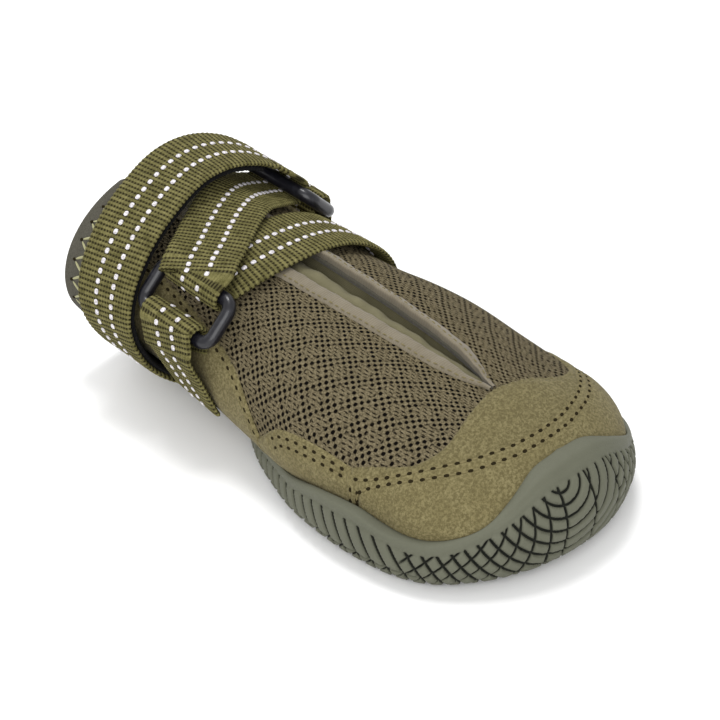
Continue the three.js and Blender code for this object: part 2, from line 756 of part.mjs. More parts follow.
const webbing = material(OLIVE_WEBBING, 0.85);
addPiece("outsole", outsoleGeometry(), material(RUBBER, 0.6));
addPiece("insole", insoleGeometry(), material(COLLAR_GREY, 0.9));
addPiece("upper", upperGeometry(), material(OLIVE_PANEL, 0.9));
addPiece("gusset", gussetGeometry(), material(OLIVE_FABRIC, 0.9));
addPiece("collar_band", collarGeometry(), material(COLLAR_GREY, 0.85));
addPiece("strap_lower", webbingGeometry(lowerCuts), webbing);
addPiece("strap_middle", webbingGeometry(middleCuts), webbing);
addPiece("strap_upper", webbingGeometry(upperCuts), webbing);
addPiece("anchor_right", webbingGeometry(anchorRightCuts, ANCHOR_WIDTH), webbing);
addPiece("anchor_left", webbingGeometry(anchorLeftCuts, ANCHOR_WIDTH), webbing);
addPiece("hook_patch", webbingGeometry(patchCuts, PATCH_WIDTH), material(PLASTIC, 0.95));
const plastic = material(PLASTIC, 0.35);
layLoop(addPiece("loop_right", loopGeometry(), plastic), LOOP_RIGHT);
layLoop(addPiece("loop_left", loopGeometry(), plastic), LOOP_LEFT);

export default boot;
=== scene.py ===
"""Looks of a dog boot: rubber cup sole, sewn cloth upper, gusset, padded collar and one turned-back strap.

Lengths are in millimetres until a mesh is made. +Z is up, the toe points along -Y and the wearer's left is +X.
The upper's skin is addressed by a place along the foot (y) and an angle round it: 0 is the left waist, 90 the
top line, 180 the right waist and 270 the line underneath.
"""

import math

import bpy
import numpy as np
from mathutils import Matrix, Vector


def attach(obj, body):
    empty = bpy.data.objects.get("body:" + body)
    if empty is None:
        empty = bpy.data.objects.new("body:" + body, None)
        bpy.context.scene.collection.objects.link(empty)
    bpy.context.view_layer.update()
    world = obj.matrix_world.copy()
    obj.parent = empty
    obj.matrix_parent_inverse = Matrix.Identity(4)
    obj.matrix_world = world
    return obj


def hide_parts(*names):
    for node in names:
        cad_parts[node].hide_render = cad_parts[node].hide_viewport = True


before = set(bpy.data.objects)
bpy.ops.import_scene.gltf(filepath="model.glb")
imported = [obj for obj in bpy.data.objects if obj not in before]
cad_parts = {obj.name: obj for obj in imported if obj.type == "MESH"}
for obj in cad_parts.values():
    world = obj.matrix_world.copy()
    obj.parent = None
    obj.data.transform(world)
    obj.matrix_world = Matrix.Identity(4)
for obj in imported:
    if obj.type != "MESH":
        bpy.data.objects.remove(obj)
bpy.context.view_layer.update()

MM = 0.001
rng = np.random.default_rng(7)

# ---- sizes shared with the frame ---------------------------------------------------------------------

WALL = 2.0
TOE_Y = -35.5
TOE_Z = 14.0
BALL_Y = -8.0
SHAFT_END = 100.0
COLLAR_END = 109.5
NOTCH_DEPTH = 5.0
SLIT_START = -7.0
FOOTBED_START = -31.0
FOOTBED_END = 54.0
WEBBING_WIDTH = 19.0
WEBBING_THICK = 1.5
LOOP_BAR = 3.4
LOOP_LENGTH = 28.0
LOOP_DEPTH = 15.0
LOOP_LIFT = 4.2
SOLE_CENTRE_Y = 12.0


def smooth_table(names, rows):
    """Gives every named column at a place, smooth through the rows."""
    table = np.array(rows, float)
    keys = table[:, 0]
    last = len(table) - 1
    slopes = np.empty_like(table)
    for i in range(last + 1):
        before = table[max(i - 1, 0)]
        after = table[min(i + 1, last)]
        slopes[i] = (after - before) / (after[0] - before[0])

    def at(place):
        p = np.clip(np.asarray(place, float), keys[0], keys[-1])
        i = np.clip(np.searchsorted(keys, p, side="right") - 1, 0, last - 1)
        span = keys[i + 1] - keys[i]
        t = (p - keys[i]) / span
        a = (1 + 2 * t) * (1 - t) ** 2
        b = t * t * (3 - 2 * t)
        c = t * (1 - t) ** 2 * span
        d = t * t * (t - 1) * span
        out = {}
        for k, name in enumerate(names):
            out[name] = a * table[i, k] + b * table[i + 1, k] + c * slopes[i, k] + d * slopes[i + 1, k]
        return out

    return at


upper_section = smooth_table(
    ["y", "half_width", "under", "waist", "top", "square_under", "square_top"],
    [
        [BALL_Y, 33.6, 4.3, 16.5, 34.0, 3.4, 1.85],
        [8, 34.8, 4.3, 17.5, 37.3, 3.4, 1.9],
        [24, 34.2, 4.3, 18.5, 39.6, 3.2, 1.95],
        [40, 32.0, 4.3, 20.0, 41.4, 2.9, 2.0],
        [56, 29.6, 4.6, 22.0, 43.2, 2.4, 2.0],
        [75, 28.4, 6.4, 24.0, 45.0, 2.1, 2.0],
        [95, 28.2, 7.8, 26.0, 47.0, 2.0, 2.0],
        [112, 28.5, 8.4, 27.5, 48.6, 2.0, 2.0],
    ],
)
slit = smooth_table(["y", "half"], [[SLIT_START, 1.6], [10, 3.6], [40, 5.0], [75, 6.0], [SHAFT_END, 6.5]])
footbed = smooth_table(
    ["y", "half"],
    [[FOOTBED_START, 12], [-22, 21], [-8, 26], [12, 27], [32, 24], [46, 19], [FOOTBED_END, 13]],
)
sole_edge = smooth_table(
    ["turn", "reach", "lip", "flare", "lean", "spring"],
    [
        [0, 48.4, 26.0, 2.8, 6.8, 3.0],
        [12, 48.3, 25.0, 2.8, 6.0, 2.8],
        [22, 47.6, 21.5, 2.7, 3.6, 2.2],
        [33, 46.4, 16.6, 2.7, 1.6, 1.4],
        [46, 44.6, 13.5, 2.8, 1.0, 0.6],
        [58, 41.2, 13.4, 2.9, 0.9, 0],
        [72, 37.6, 15.2, 2.9, 0.9, 0],
        [90, 35.0, 14.6, 3.0, 0.9, 0],
        [108, 34.6, 12.2, 2.8, 0.9, 0],
        [124, 35.8, 11.2, 2.4, 0.8, 0],
        [140, 39.4, 9.8, 2.0, 0.7, 0],
        [155, 44.2, 7.8, 1.6, 0.6, 0.4],
        [168, 47.8, 6.0, 1.2, 0.5, 0.8],
        [180, 49.0, 5.4, 1.0, 0.4, 1.0],
    ],
)


# ---- the skin ---------------------------------------------------------------------------------------------


def section(y):
    """The cross-section at y; in front of the ball it closes in on the toe point."""
    ball = upper_section(np.maximum(y, BALL_Y))
    t = np.clip((y - TOE_Y) / (BALL_Y - TOE_Y), 0, 1)

    def rounded(power):
        return (1 - (1 - t) ** power) ** (1 / power)

    return {
        "half_width": ball["half_width"] * rounded(2.15),
        "under": TOE_Z - (TOE_Z - ball["under"]) * rounded(2.8),
        "waist": TOE_Z + (ball["waist"] - TOE_Z) * t,
        "top": TOE_Z + (ball["top"] - TOE_Z) * rounded(1.6),
        "square_under": ball["square_under"],
        "square_top": ball["square_top"],
    }


def skin(y, degrees, grow=0.0):
    """Points of the skin, moved out (or in) by grow."""
    y, degrees, grow = np.broadcast_arrays(np.asarray(y, float), np.asarray(degrees, float), grow)
    s = section(y)
    angle = np.radians(degrees)
    across = np.cos(angle)
    up = np.sin(angle)
    reach = np.where(up > 0, s["top"] - s["waist"], s["waist"] - s["under"])
    power = np.where(up > 0, s["square_top"], s["square_under"])
    wide = np.maximum(s["half_width"] + grow, 0.01)
    high = np.maximum(reach + grow, 0.01)
    r = (np.abs(across / wide) ** power + np.abs(up / high) ** power) ** (-1 / power)
    return np.stack([r * across, y, s["waist"] + r * up], axis=-1)


def skin_out(y, degrees):
    """The way out from the skin."""
    round_it = skin(y, np.asarray(degrees) + 1.0) - skin(y, np.asarray(degrees) - 1.0)
    along = skin(np.asarray(y) + 0.5, degrees) - skin(np.asarray(y) - 0.5, degrees)
    out = np.cross(along, round_it)
    return out / np.linalg.norm(out, axis=-1, keepdims=True)


def angle_at_half(y, half, start, end, grow=0.0):
    """The angle, between start and end, at which the skin is half wide from the middle line."""
    near = np.full(np.shape(y), float(start))
    far = np.full(np.shape(y), float(end))
    for _ in range(26):
        middle = (near + far) / 2
        short = np.abs(skin(y, middle, grow)[..., 0]) < half
        near = np.where(short, middle, near)
        far = np.where(short, far, middle)
    return (near + far) / 2


def smoothstep(low, high, value):
    t = np.clip((value - low) / (high - low), 0, 1)
    return t * t * (3 - 2 * t)


def smooth_line(points, step=0.4):
    """A centripetal Catmull-Rom curve through points, sampled about every step."""
    p = np.array(points, float)
    p = np.vstack([2 * p[0] - p[1], p, 2 * p[-1] - p[-2]])
    out = []
    for i in range(1, len(p) - 2):
        p0, p1, p2, p3 = p[i - 1 : i + 3]
        t0 = 0.0
        t1 = t0 + max(np.linalg.norm(p1 - p0), 1e-6) ** 0.5
        t2 = t1 + max(np.linalg.norm(p2 - p1), 1e-6) ** 0.5
        t3 = t2 + max(np.linalg.norm(p3 - p2), 1e-6) ** 0.5
        count = max(2, int(np.linalg.norm(p2 - p1) / step))
        t = np.linspace(t1, t2, count, endpoint=False)[:, None]
        a1 = (t1 - t) / (t1 - t0) * p0 + (t - t0) / (t1 - t0) * p1
        a2 = (t2 - t) / (t2 - t1) * p1 + (t - t1) / (t2 - t1) * p2
        a3 = (t3 - t) / (t3 - t2) * p2 + (t - t2) / (t3 - t2) * p3
        b1 = (t2 - t) / (t2 - t0) * a1 + (t - t0) / (t2 - t0) * a2
        b2 = (t3 - t) / (t3 - t1) * a2 + (t - t1) / (t3 - t1) * a3
        out.append((t2 - t) / (t2 - t1) * b1 + (t - t1) / (t2 - t1) * b2)
    out.append(p[-2][None, :])
    return np.vstack(out)


# ---- meshes -----------------------------------------------------------------------------------------------


def grid_faces(rows, columns, wrap=False):
    """Quads of a grid of points with the given rows and columns of points."""
    i, j = np.meshgrid(np.arange(rows - 1), np.arange(columns if wrap else columns - 1), indexing="ij")
    k = (j + 1) % columns
    quads = np.stack([i * columns + j, i * columns + k, (i + 1) * columns + k, (i + 1) * columns + j], -1)
    return quads.reshape(-1, 4)


def slab_faces(rows, columns):
    """Quads of a closed slab whose rows of points go across its top and back across its underside."""
    step = np.arange(columns - 1)
    end = np.stack([step, step + 1, 2 * columns - 2 - step, 2 * columns - 1 - step], -1)
    return np.concatenate([
        grid_faces(rows, 2 * columns, wrap=True),
        end[:, ::-1],
        end + (rows - 1) * 2 * columns,
    ])


def make_piece(name, points, faces, finish, uv=None, values=None, hides=()):
    """A mesh object from points in millimetres. uv is one pair and values one number for each point."""
    mesh = bpy.data.meshes.new(name)
    mesh.from_pydata((np.asarray(points) * MM).tolist(), [], [list(face) for face in faces])
    mesh.polygons.foreach_set("use_smooth", np.ones(len(mesh.polygons), bool))
    corners = np.empty(len(mesh.loops), np.int32)
    mesh.loops.foreach_get("vertex_index", corners)
    if uv is not None:
        layer = mesh.uv_layers.new(name="UVMap")
        layer.data.foreach_set("uv", np.asarray(uv, np.float32)[corners].ravel())
    if values is not None:
        for label, numbers in values.items():
            shade = mesh.attributes.new(label, "FLOAT", "POINT")
            shade.data.foreach_set("value", np.asarray(numbers, np.float32))
    mesh.materials.append(finish)
    mesh.update()
    piece = bpy.data.objects.new(name, mesh)
    bpy.context.scene.collection.objects.link(piece)
    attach(piece, "root")
    if hides:
        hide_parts(*hides)
    return piece


def copies(template, faces, at, along, out, sizes):
    """One small form repeated: its points go along, across and out from each place."""
    across = np.cross(out, along)
    across /= np.linalg.norm(across, axis=-1, keepdims=True)
    out = np.cross(along, across)
    local = template[None, :, :] * np.asarray(sizes, float)[None, None, :]
    points = at[:, None, :] + local[..., :1] * along[:, None, :] + local[..., 1:2] * across[:, None, :]
    points = points + local[..., 2:] * out[:, None, :]
    shift = np.arange(len(at))[:, None, None] * len(template)
    all_faces = (np.asarray(faces)[None] + shift).reshape(-1, 4)
    return points.reshape(-1, 3), all_faces


def bead(rings=5, sides=8, power=1.0):
    """A small closed pill of unit half sizes, long way along x. A power below 1 squares it off."""
    lat = np.linspace(-np.pi / 2, np.pi / 2, rings + 2)
    lon = np.arange(sides) * 2 * np.pi / sides
    x = np.sign(np.sin(lat)) * np.abs(np.sin(lat)) ** power
    r = np.maximum(np.cos(lat), 0.0) ** power
    y = np.sign(np.cos(lon)) * np.abs(np.cos(lon)) ** power
    z = np.sign(np.sin(lon)) * np.abs(np.sin(lon)) ** power
    points = np.stack(
        [np.repeat(x[:, None], sides, 1), r[:, None] * y[None, :], r[:, None] * z[None, :]],
        -1,
    )
    return points.reshape(-1, 3), grid_faces(rings + 2, sides, wrap=True)


def arc_lengths(points):
    steps = np.linalg.norm(np.diff(points, axis=0), axis=1)
    return np.concatenate([[0.0], np.cumsum(steps)])


def resample(points, places, lengths=None):
    lengths = arc_lengths(points) if lengths is None else lengths
    return np.stack([np.interp(places, lengths, points[:, k]) for k in range(points.shape[1])], -1)


def unit(vectors):
    return vectors / np.maximum(np.linalg.norm(vectors, axis=-1, keepdims=True), 1e-9)


# ---- materials -----------------------------------------------------------------------------------------------


class Value:
    """A number on a shader socket. Arithmetic on it adds the Math nodes."""

    def __init__(self, finish, socket):
        self.finish = finish
        self.socket = socket

    def math(self, operation, *others):
        return self.finish.math(operation, self, *others)

    def __add__(self, other):
        return self.finish.math("ADD", self, other)

    def __radd__(self, other):
        return self.finish.math("ADD", other, self)

    def __sub__(self, other):
        return self.finish.math("SUBTRACT", self, other)

    def __rsub__(self, other):
        return self.finish.math("SUBTRACT", other, self)

    def __mul__(self, other):
        return self.finish.math("MULTIPLY", self, other)

    def __rmul__(self, other):
        return self.finish.math("MULTIPLY", other, self)

    def __truediv__(self, other):
        return self.finish.math("DIVIDE", self, other)

    def __rtruediv__(self, other):
        return self.finish.math("DIVIDE", other, self)

    def __pow__(self, other):
        return self.finish.math("POWER", self, other)


class Finish:
    """A material whose varying inputs are made from expressions."""

    def __init__(self, name, roughness=0.8, sheen=0.0, specular=0.5, coat=0.0):
        self.material = bpy.data.materials.new(name)
        self.material.use_nodes = True
        self.tree = self.material.node_tree
        self.shader = self.tree.nodes["Principled BSDF"]
        self.shader.inputs["Roughness"].default_value = roughness
        self.shader.inputs["Sheen Weight"].default_value = sheen
        self.shader.inputs["Sheen Roughness"].default_value = 0.5
        self.shader.inputs["Specular IOR Level"].default_value = specular
        self.shader.inputs["Coat Weight"].default_value = coat

    def add(self, kind, settings=None, output=0, **inputs):
        """Any node: its settings are set first, then its inputs; gives one output."""
        node = self.tree.nodes.new(kind)
        for key, value in (settings or {}).items():
            setattr(node, key, value)
        for key, value in inputs.items():
            socket = node.inputs[int(key[1:])] if key[0] == "i" and key[1:].isdigit() else node.inputs[key]
            self.feed(socket, value)
        return Value(self, node.outputs[output])

    def feed(self, socket, value):
        if isinstance(value, Value):
            self.tree.links.new(value.socket, socket)
        else:
            socket.default_value = value

    def math(self, operation, *values):
        inputs = {f"i{k}": value for k, value in enumerate(values)}
        return self.add("ShaderNodeMath", {"operation": operation}, **inputs)

    def place(self):
        """The point on the piece, in millimetres."""
        point = self.add("ShaderNodeTexCoord", output=3)
        return self.add("ShaderNodeVectorMath", {"operation": "SCALE"}, i0=point, i3=1000.0)

    def uv(self):
        split = self.add("ShaderNodeSeparateXYZ", i0=self.add("ShaderNodeUVMap", {"uv_map": "UVMap"}))
        return split, Value(self, split.socket.node.outputs[1])

    def noise(self, size, detail=2.0, rough=0.5, stretch=None):
        """Noise whose features are about size millimetres across."""
        point = self.place()
        if stretch:
            point = self.add("ShaderNodeVectorMath", {"operation": "MULTIPLY"}, i0=point, i1=stretch)
        return self.add(
            "ShaderNodeTexNoise", Vector=point, Scale=1.0 / size, Detail=detail, Roughness=rough
        )

    def step(self, low, high, value):
        """Runs smoothly from 0 to 1 while value goes from low to high."""
        ramp = self.add(
            "ShaderNodeMapRange",
            {"interpolation_type": "SMOOTHSTEP"},
            i0=value,
            i1=low,
            i2=high,
            i3=0.0,
            i4=1.0,
        )
        return ramp

    def mix(self, share, first, second):
        colour = [(*c, 1.0) if isinstance(c, tuple) and len(c) == 3 else c for c in (first, second)]
        return self.add(
            "ShaderNodeMix", {"data_type": "RGBA"}, output=2, i0=share, i6=colour[0], i7=colour[1]
        )

    def attribute(self, label):
        return self.add("ShaderNodeAttribute", {"attribute_name": label}, output=2)

    def colour(self, value):
        self.feed(self.shader.inputs["Base Color"], value)

    def rough(self, value):
        self.feed(self.shader.inputs["Roughness"], value)

    def bump(self, height, depth, strength=1.0):
        """height runs about 0 to 1 and stands for depth millimetres."""
        bumped = self.add("ShaderNodeBump", Strength=strength, Distance=depth * MM, Height=height)
        self.feed(self.shader.inputs["Normal"], bumped)


OLIVE_TAN = (0.200, 0.170, 0.078)
OLIVE_TAN_DARK = (0.100, 0.083, 0.036)
OLIVE_TAN_LIGHT = (0.282, 0.246, 0.124)


def suede(name, lightness=1.0):
    """Short nap: blotched at a few millimetres, grainy at a few tenths."""
    f = Finish(name, roughness=0.95, sheen=0.05, specular=0.12)
    grain = f.noise(0.7, detail=4.0, rough=0.8)
    blotch = f.noise(6.0, detail=2.0)
    fleck = f.noise(0.9, detail=1.0)
    dark = tuple(c * lightness for c in OLIVE_TAN_DARK)
    middle = tuple(c * lightness for c in OLIVE_TAN)
    light = tuple(c * lightness for c in OLIVE_TAN_LIGHT)
    base = f.mix(f.step(0.25, 0.75, blotch * 0.6 + fleck * 0.4), middle, light)
    base = f.mix(f.step(0.40, 0.62, grain) * 0.55, dark, base)
    base = f.mix(f.step(0.60, 0.74, grain) * 0.45, base, light)
    f.colour(base)
    f.rough(0.9 + grain * 0.1)
    f.bump(grain * 0.6 + fleck * 0.4, 0.35, 0.8)
    return f.material


def air_mesh():
    """Open knit: blocks of nine round holes on a slanted square lattice, with short slits between the blocks; painted
    shade in and round the holes.
    """
    f = Finish("air_mesh", roughness=0.95, specular=0.05)
    u, v = f.uv()
    diagonal = 2.12
    drift = (f.noise(7.0, detail=1.0) - 0.5) * 0.9
    stray = (f.noise(1.6, detail=1.0) - 0.5) * 0.4
    a = (u + v + drift + stray) * (2 * math.pi / diagonal)
    b = (u - v + drift - stray) * (2 * math.pi / diagonal)
    level = (a.math("COSINE") + b.math("COSINE")) * 0.25 + 0.5
    c = (a * 0.25).math("COSINE")
    d = (b * 0.25 + a * 0.04).math("COSINE")
    blocks = f.step(0.30, 0.52, (c + d) * 0.25 + 0.5)
    grain = f.noise(0.35, detail=3.0, rough=0.8)
    round_holes = f.step(0.58, 0.74, level + (grain - 0.5) * 0.2) * blocks
    strand = (u + stray * 1.5) * (2 * math.pi / 0.95)
    broken = ((v + u * 0.6 + stray * 2.0) * (2 * math.pi / 1.9)).math("COSINE")
    slits = strand.math("COSINE") * 0.36 + broken * 0.14 + 0.5 + (grain - 0.5) * 0.35
    slits = f.step(0.70, 0.90, slits) * (1.0 - blocks) * 0.9
    hole = round_holes.math("MAXIMUM", slits)
    yarn = f.mix(f.step(0.34, 0.70, grain), (0.060, 0.048, 0.026), (0.200, 0.168, 0.102))
    # Painted shade: the yarn darkens towards the edges of the round holes.
    yarn = f.mix(f.step(0.40, 0.66, level) * 0.5 * blocks, yarn, (0.030, 0.024, 0.013))
    # Painted shade: the holes and slits are near black, standing for the dark inside seen through them.
    f.colour(f.mix(hole, yarn, (0.002, 0.0015, 0.001)))
    f.bump((1.0 - hole) * 0.7 + grain * 0.3, 0.6, 0.9)
    return f.material


def stretch_cloth():
    """The gusset's cloth: smooth, with a fine twill."""
    f = Finish("stretch_cloth", roughness=0.9, sheen=0.05, specular=0.15)
    u, v = f.uv()
    twill = ((u + v) * (2 * math.pi / 0.55)).math("SINE") * 0.5 + 0.5
    soft = f.noise(5.0, detail=2.0)
    grain = f.noise(0.3, detail=2.0)
    base = f.mix(soft, (0.125, 0.113, 0.062), (0.190, 0.174, 0.103))
    f.colour(f.mix(twill * 0.25 + grain * 0.3, base, (0.078, 0.070, 0.038)))
    f.bump(twill * 0.7 + grain * 0.3, 0.12, 0.6)
    return f.material


def edge_tape():
    """Flat grey-brown tape with a fine cross weave."""
    f = Finish("edge_tape", roughness=0.85, sheen=0.15, specular=0.3)
    u, v = f.uv()
    weave = (v * (2 * math.pi / 0.6)).math("SINE") * 0.5 + 0.5
    grain = f.noise(0.35, detail=3.0, rough=0.7)
    base = f.mix(f.noise(4.0), (0.150, 0.127, 0.086), (0.230, 0.198, 0.140))
    f.colour(f.mix(grain * 0.45 + weave * 0.2, base, (0.080, 0.066, 0.043)))
    f.bump(weave * 0.5 + grain * 0.5, 0.15, 0.7)
    return f.material


RIB_PITCH = 1.25


def webbing_cloth():
    """Ribbed webbing, with painted shade between the ribs, darkest where the lines between the yarns cross them."""
    f = Finish("webbing_cloth", roughness=0.9, specular=0.1)
    u, v = f.uv()
    grain = f.noise(0.3, detail=3.0, rough=0.8)
    patch = f.noise(2.2, detail=2.0)
    rib = (u * (2 * math.pi / RIB_PITCH)).math("COSINE") * 0.5 + 0.5
    warp = ((v + (grain - 0.5) * 0.25) * (2 * math.pi / 0.95)).math("COSINE") * 0.5 + 0.5
    light = f.mix(f.step(0.3, 0.7, patch * 0.4 + grain * 0.6), (0.062, 0.057, 0.017), (0.205, 0.186, 0.074))
    # Painted shade: near black in the lines between the ribs.
    between = f.step(0.62, 0.20, rib + (grain - 0.5) * 0.5)
    gap_shade = between * (0.50 + f.step(0.25, 0.70, warp) * 0.50)
    base = f.mix(gap_shade, light, (0.010, 0.008, 0.003))
    # Painted shade along the lines between the yarns, where the bump sinks.
    f.colour(f.mix(f.step(0.5, 1.0, warp) * 0.25, base, (0.045, 0.038, 0.011)))
    f.bump(rib * 0.45 + (1.0 - warp) * 0.2 + grain * 0.35, 0.35, 0.9)
    return f.material


def pale_thread():
    """The pale reflective yarn of the webbing's dashes."""
    f = Finish("pale_thread", roughness=0.45, specular=0.6)
    grain = f.noise(0.35, detail=2.0)
    f.colour(f.mix(f.step(0.3, 0.7, grain), (0.34, 0.32, 0.33), (0.74, 0.71, 0.74)))
    f.rough(0.35 + grain * 0.25)
    f.bump(grain, 0.12, 0.6)
    return f.material


def thread(name, dark, light, specular=0.15):
    """Sewing thread with a slight twist; also used for the near-black painted shade in the stitch pits."""
    f = Finish(name, roughness=0.8, specular=specular)
    grain = f.noise(0.3, detail=2.0)
    f.colour(f.mix(grain, dark, light))
    f.bump(grain, 0.1, 0.5)
    return f.material


def moulded_rubber():
    """Grey-green rubber with painted shade in the grooves between the lugs and, near black, in their fine lines."""
    f = Finish("moulded_rubber", roughness=0.6, specular=0.18)
    groove = f.attribute("groove")
    wall = f.attribute("lug_wall")
    arcs = 1.0 - f.step(0.055, 0.125, f.attribute("lug_arcs").math("PINGPONG", 0.5))
    slants = 1.0 - f.step(0.040, 0.090, f.attribute("lug_slants").math("PINGPONG", 0.5))
    slants = slants * f.attribute("lug_crossed")
    line = arcs.math("MAXIMUM", slants) * f.step(0.5, 0.75, wall)
    fine = f.noise(0.5, detail=3.0, rough=0.65)
    broad = f.noise(9.0, detail=3.0)
    base = f.mix(broad, (0.092, 0.094, 0.066), (0.120, 0.122, 0.088))
    base = f.mix(fine * 0.4, base, (0.080, 0.084, 0.059))
    # Painted shade in the grooves, from the groove attribute.
    base = f.mix((groove * 0.55).math("MINIMUM", 0.8), base, (0.030, 0.031, 0.020))
    # Painted shade, near black, in the fine lines of the lugs.
    f.colour(f.mix(line * 0.97, base, (0.005, 0.006, 0.004)))
    f.rough(0.50 + broad * 0.16 + fine * 0.08 + line * 0.25)
    f.bump((1.0 - line) * 0.85 + fine * 0.15, 0.7, 0.8)
    return f.material


def padded_cloth():
    """The collar's dark grey-olive cloth over foam."""
    f = Finish("padded_cloth", roughness=0.95, specular=0.08)
    fine = f.noise(0.3, detail=3.0, rough=0.7)
    broad = f.noise(4.0, detail=2.0)
    base = f.mix(broad, (0.070, 0.066, 0.051), (0.105, 0.099, 0.080))
    f.colour(f.mix(f.step(0.35, 0.7, fine) * 0.6, base, (0.036, 0.034, 0.026)))
    f.bump(fine * 0.8 + broad * 0.2, 0.3, 0.9)
    return f.material


def lining_cloth():
    f = Finish("lining_cloth", roughness=0.95, sheen=0.1, specular=0.2)
    fine = f.noise(0.4, detail=2.0)
    f.colour(f.mix(fine, (0.050, 0.046, 0.034), (0.105, 0.098, 0.076)))
    f.bump(fine, 0.2, 0.6)
    return f.material


def fuzzy_tape():
    """Black hook-and-loop pile."""
    f = Finish("fuzzy_tape", roughness=0.95, sheen=0.02, specular=0.1)
    pile = f.noise(0.4, detail=4.0, rough=0.8)
    f.colour(f.mix(f.step(0.45, 0.8, pile), (0.003, 0.003, 0.003), (0.022, 0.021, 0.022)))
    f.bump(pile, 0.7, 1.0)
    return f.material


def black_plastic():
    """Moulded plastic, slightly rubbed on the bars."""
    f = Finish("black_plastic", roughness=0.3, specular=0.35, coat=0.2)
    rub = f.noise(2.5, detail=4.0, rough=0.6)
    fine = f.noise(0.25, detail=2.0)
    f.colour(f.mix(f.step(0.50, 0.78, rub) * 0.5, (0.006, 0.006, 0.009), (0.030, 0.030, 0.038)))
    f.rough(0.20 + rub * 0.2 + fine * 0.06)
    f.bump(fine, 0.03, 0.5)
    return f.material


def floor_paint():
    f = Finish("floor_paint", roughness=0.9, specular=0.2)
    f.colour(f.mix(f.noise(400.0), (0.90, 0.90, 0.90), (0.93, 0.93, 0.93)))
    return f.material


SUEDE = suede("suede_panels")
SUEDE_VAMP = suede("suede_vamp", 0.93)
MESH = air_mesh()
GUSSET = stretch_cloth()
TAPE = edge_tape()
WEBBING = webbing_cloth()
DASHES = pale_thread()
STITCHES = thread("stitch_thread", (0.10, 0.082, 0.036), (0.21, 0.177, 0.085))
# Near-black beads for the stitch pits: painted shade of the needle holes.
PIT_SHADE = thread("stitch_pit_shade", (0.008, 0.006, 0.003), (0.026, 0.020, 0.009), 0.02)
ZIGZAG = thread("zigzag_thread", (0.24, 0.23, 0.12), (0.42, 0.41, 0.24))
RUBBER = moulded_rubber()
COLLAR = padded_cloth()
LINING = lining_cloth()
FUZZ = fuzzy_tape()
PLASTIC = black_plastic()

# ---- the upper's body ---------------------------------------------------------------------------------------

MESH_SINK = -0.55
ROUND_IT = 0.52


def creases(y, degrees):
    """Soft troughs (below 0) and ridges (above 0) of the cloth, in the boot's own sizes."""
    side = np.abs(np.asarray(degrees, float) - 90)
    out = 0.0
    # y, degrees from the top line, half lengths along and round, tilt, depth
    for at_y, at_side, long, short, tilt, depth in [
        (6.0, 70.0, 16.0, 6.0, 0.3, -0.55),
        (24.0, 66.0, 14.0, 7.0, -0.4, 0.45),
        (44.0, 62.0, 10.0, 5.0, 0.8, -0.5),
        (-12.0, 48.0, 9.0, 6.0, -0.9, -0.45),
        (-20.0, 62.0, 8.0, 9.0, 0.2, 0.4),
        (-2.0, 30.0, 12.0, 8.0, 0.0, 0.35),
        (34.0, 40.0, 14.0, 8.0, 0.2, 0.4),
        (52.0, 45.0, 4.0, 16.0, 0.0, -0.7),
        (10.0, 96.0, 14.0, 8.0, 0.0, -0.4),
        (44.0, 92.0, 7.0, 12.0, 0.5, -0.6),
    ]:
        a = y - at_y
        b = (side - at_side) * ROUND_IT
        u = a * math.cos(tilt) + b * math.sin(tilt)
        v = b * math.cos(tilt) - a * math.sin(tilt)
        out = out + depth * np.exp(-((u / long) ** 2) - (v / short) ** 2)
    return out


def upper_columns(y):
    s = section(y)
    under = angle_at_half(y, np.minimum(footbed(y)["half"], s["half_width"] * 0.8), -90, 0)
    top = angle_at_half(y, np.minimum(slit(y)["half"], s["half_width"] * 0.2), 90, 0)
    share = np.concatenate([np.zeros(0), np.linspace(0, 1, 6, endpoint=False)])
    first = -90 + (under[:, None] + 90) * share
    middle = under[:, None] + (top - under)[:, None] * np.linspace(0, 1, 90, endpoint=False)
    last = top[:, None] + (90 - top)[:, None] * np.linspace(0, 1, 7)
    half = np.concatenate([first, middle, last], axis=1)
    return np.concatenate([half, 180 - half[:, -2:0:-1]], axis=1)


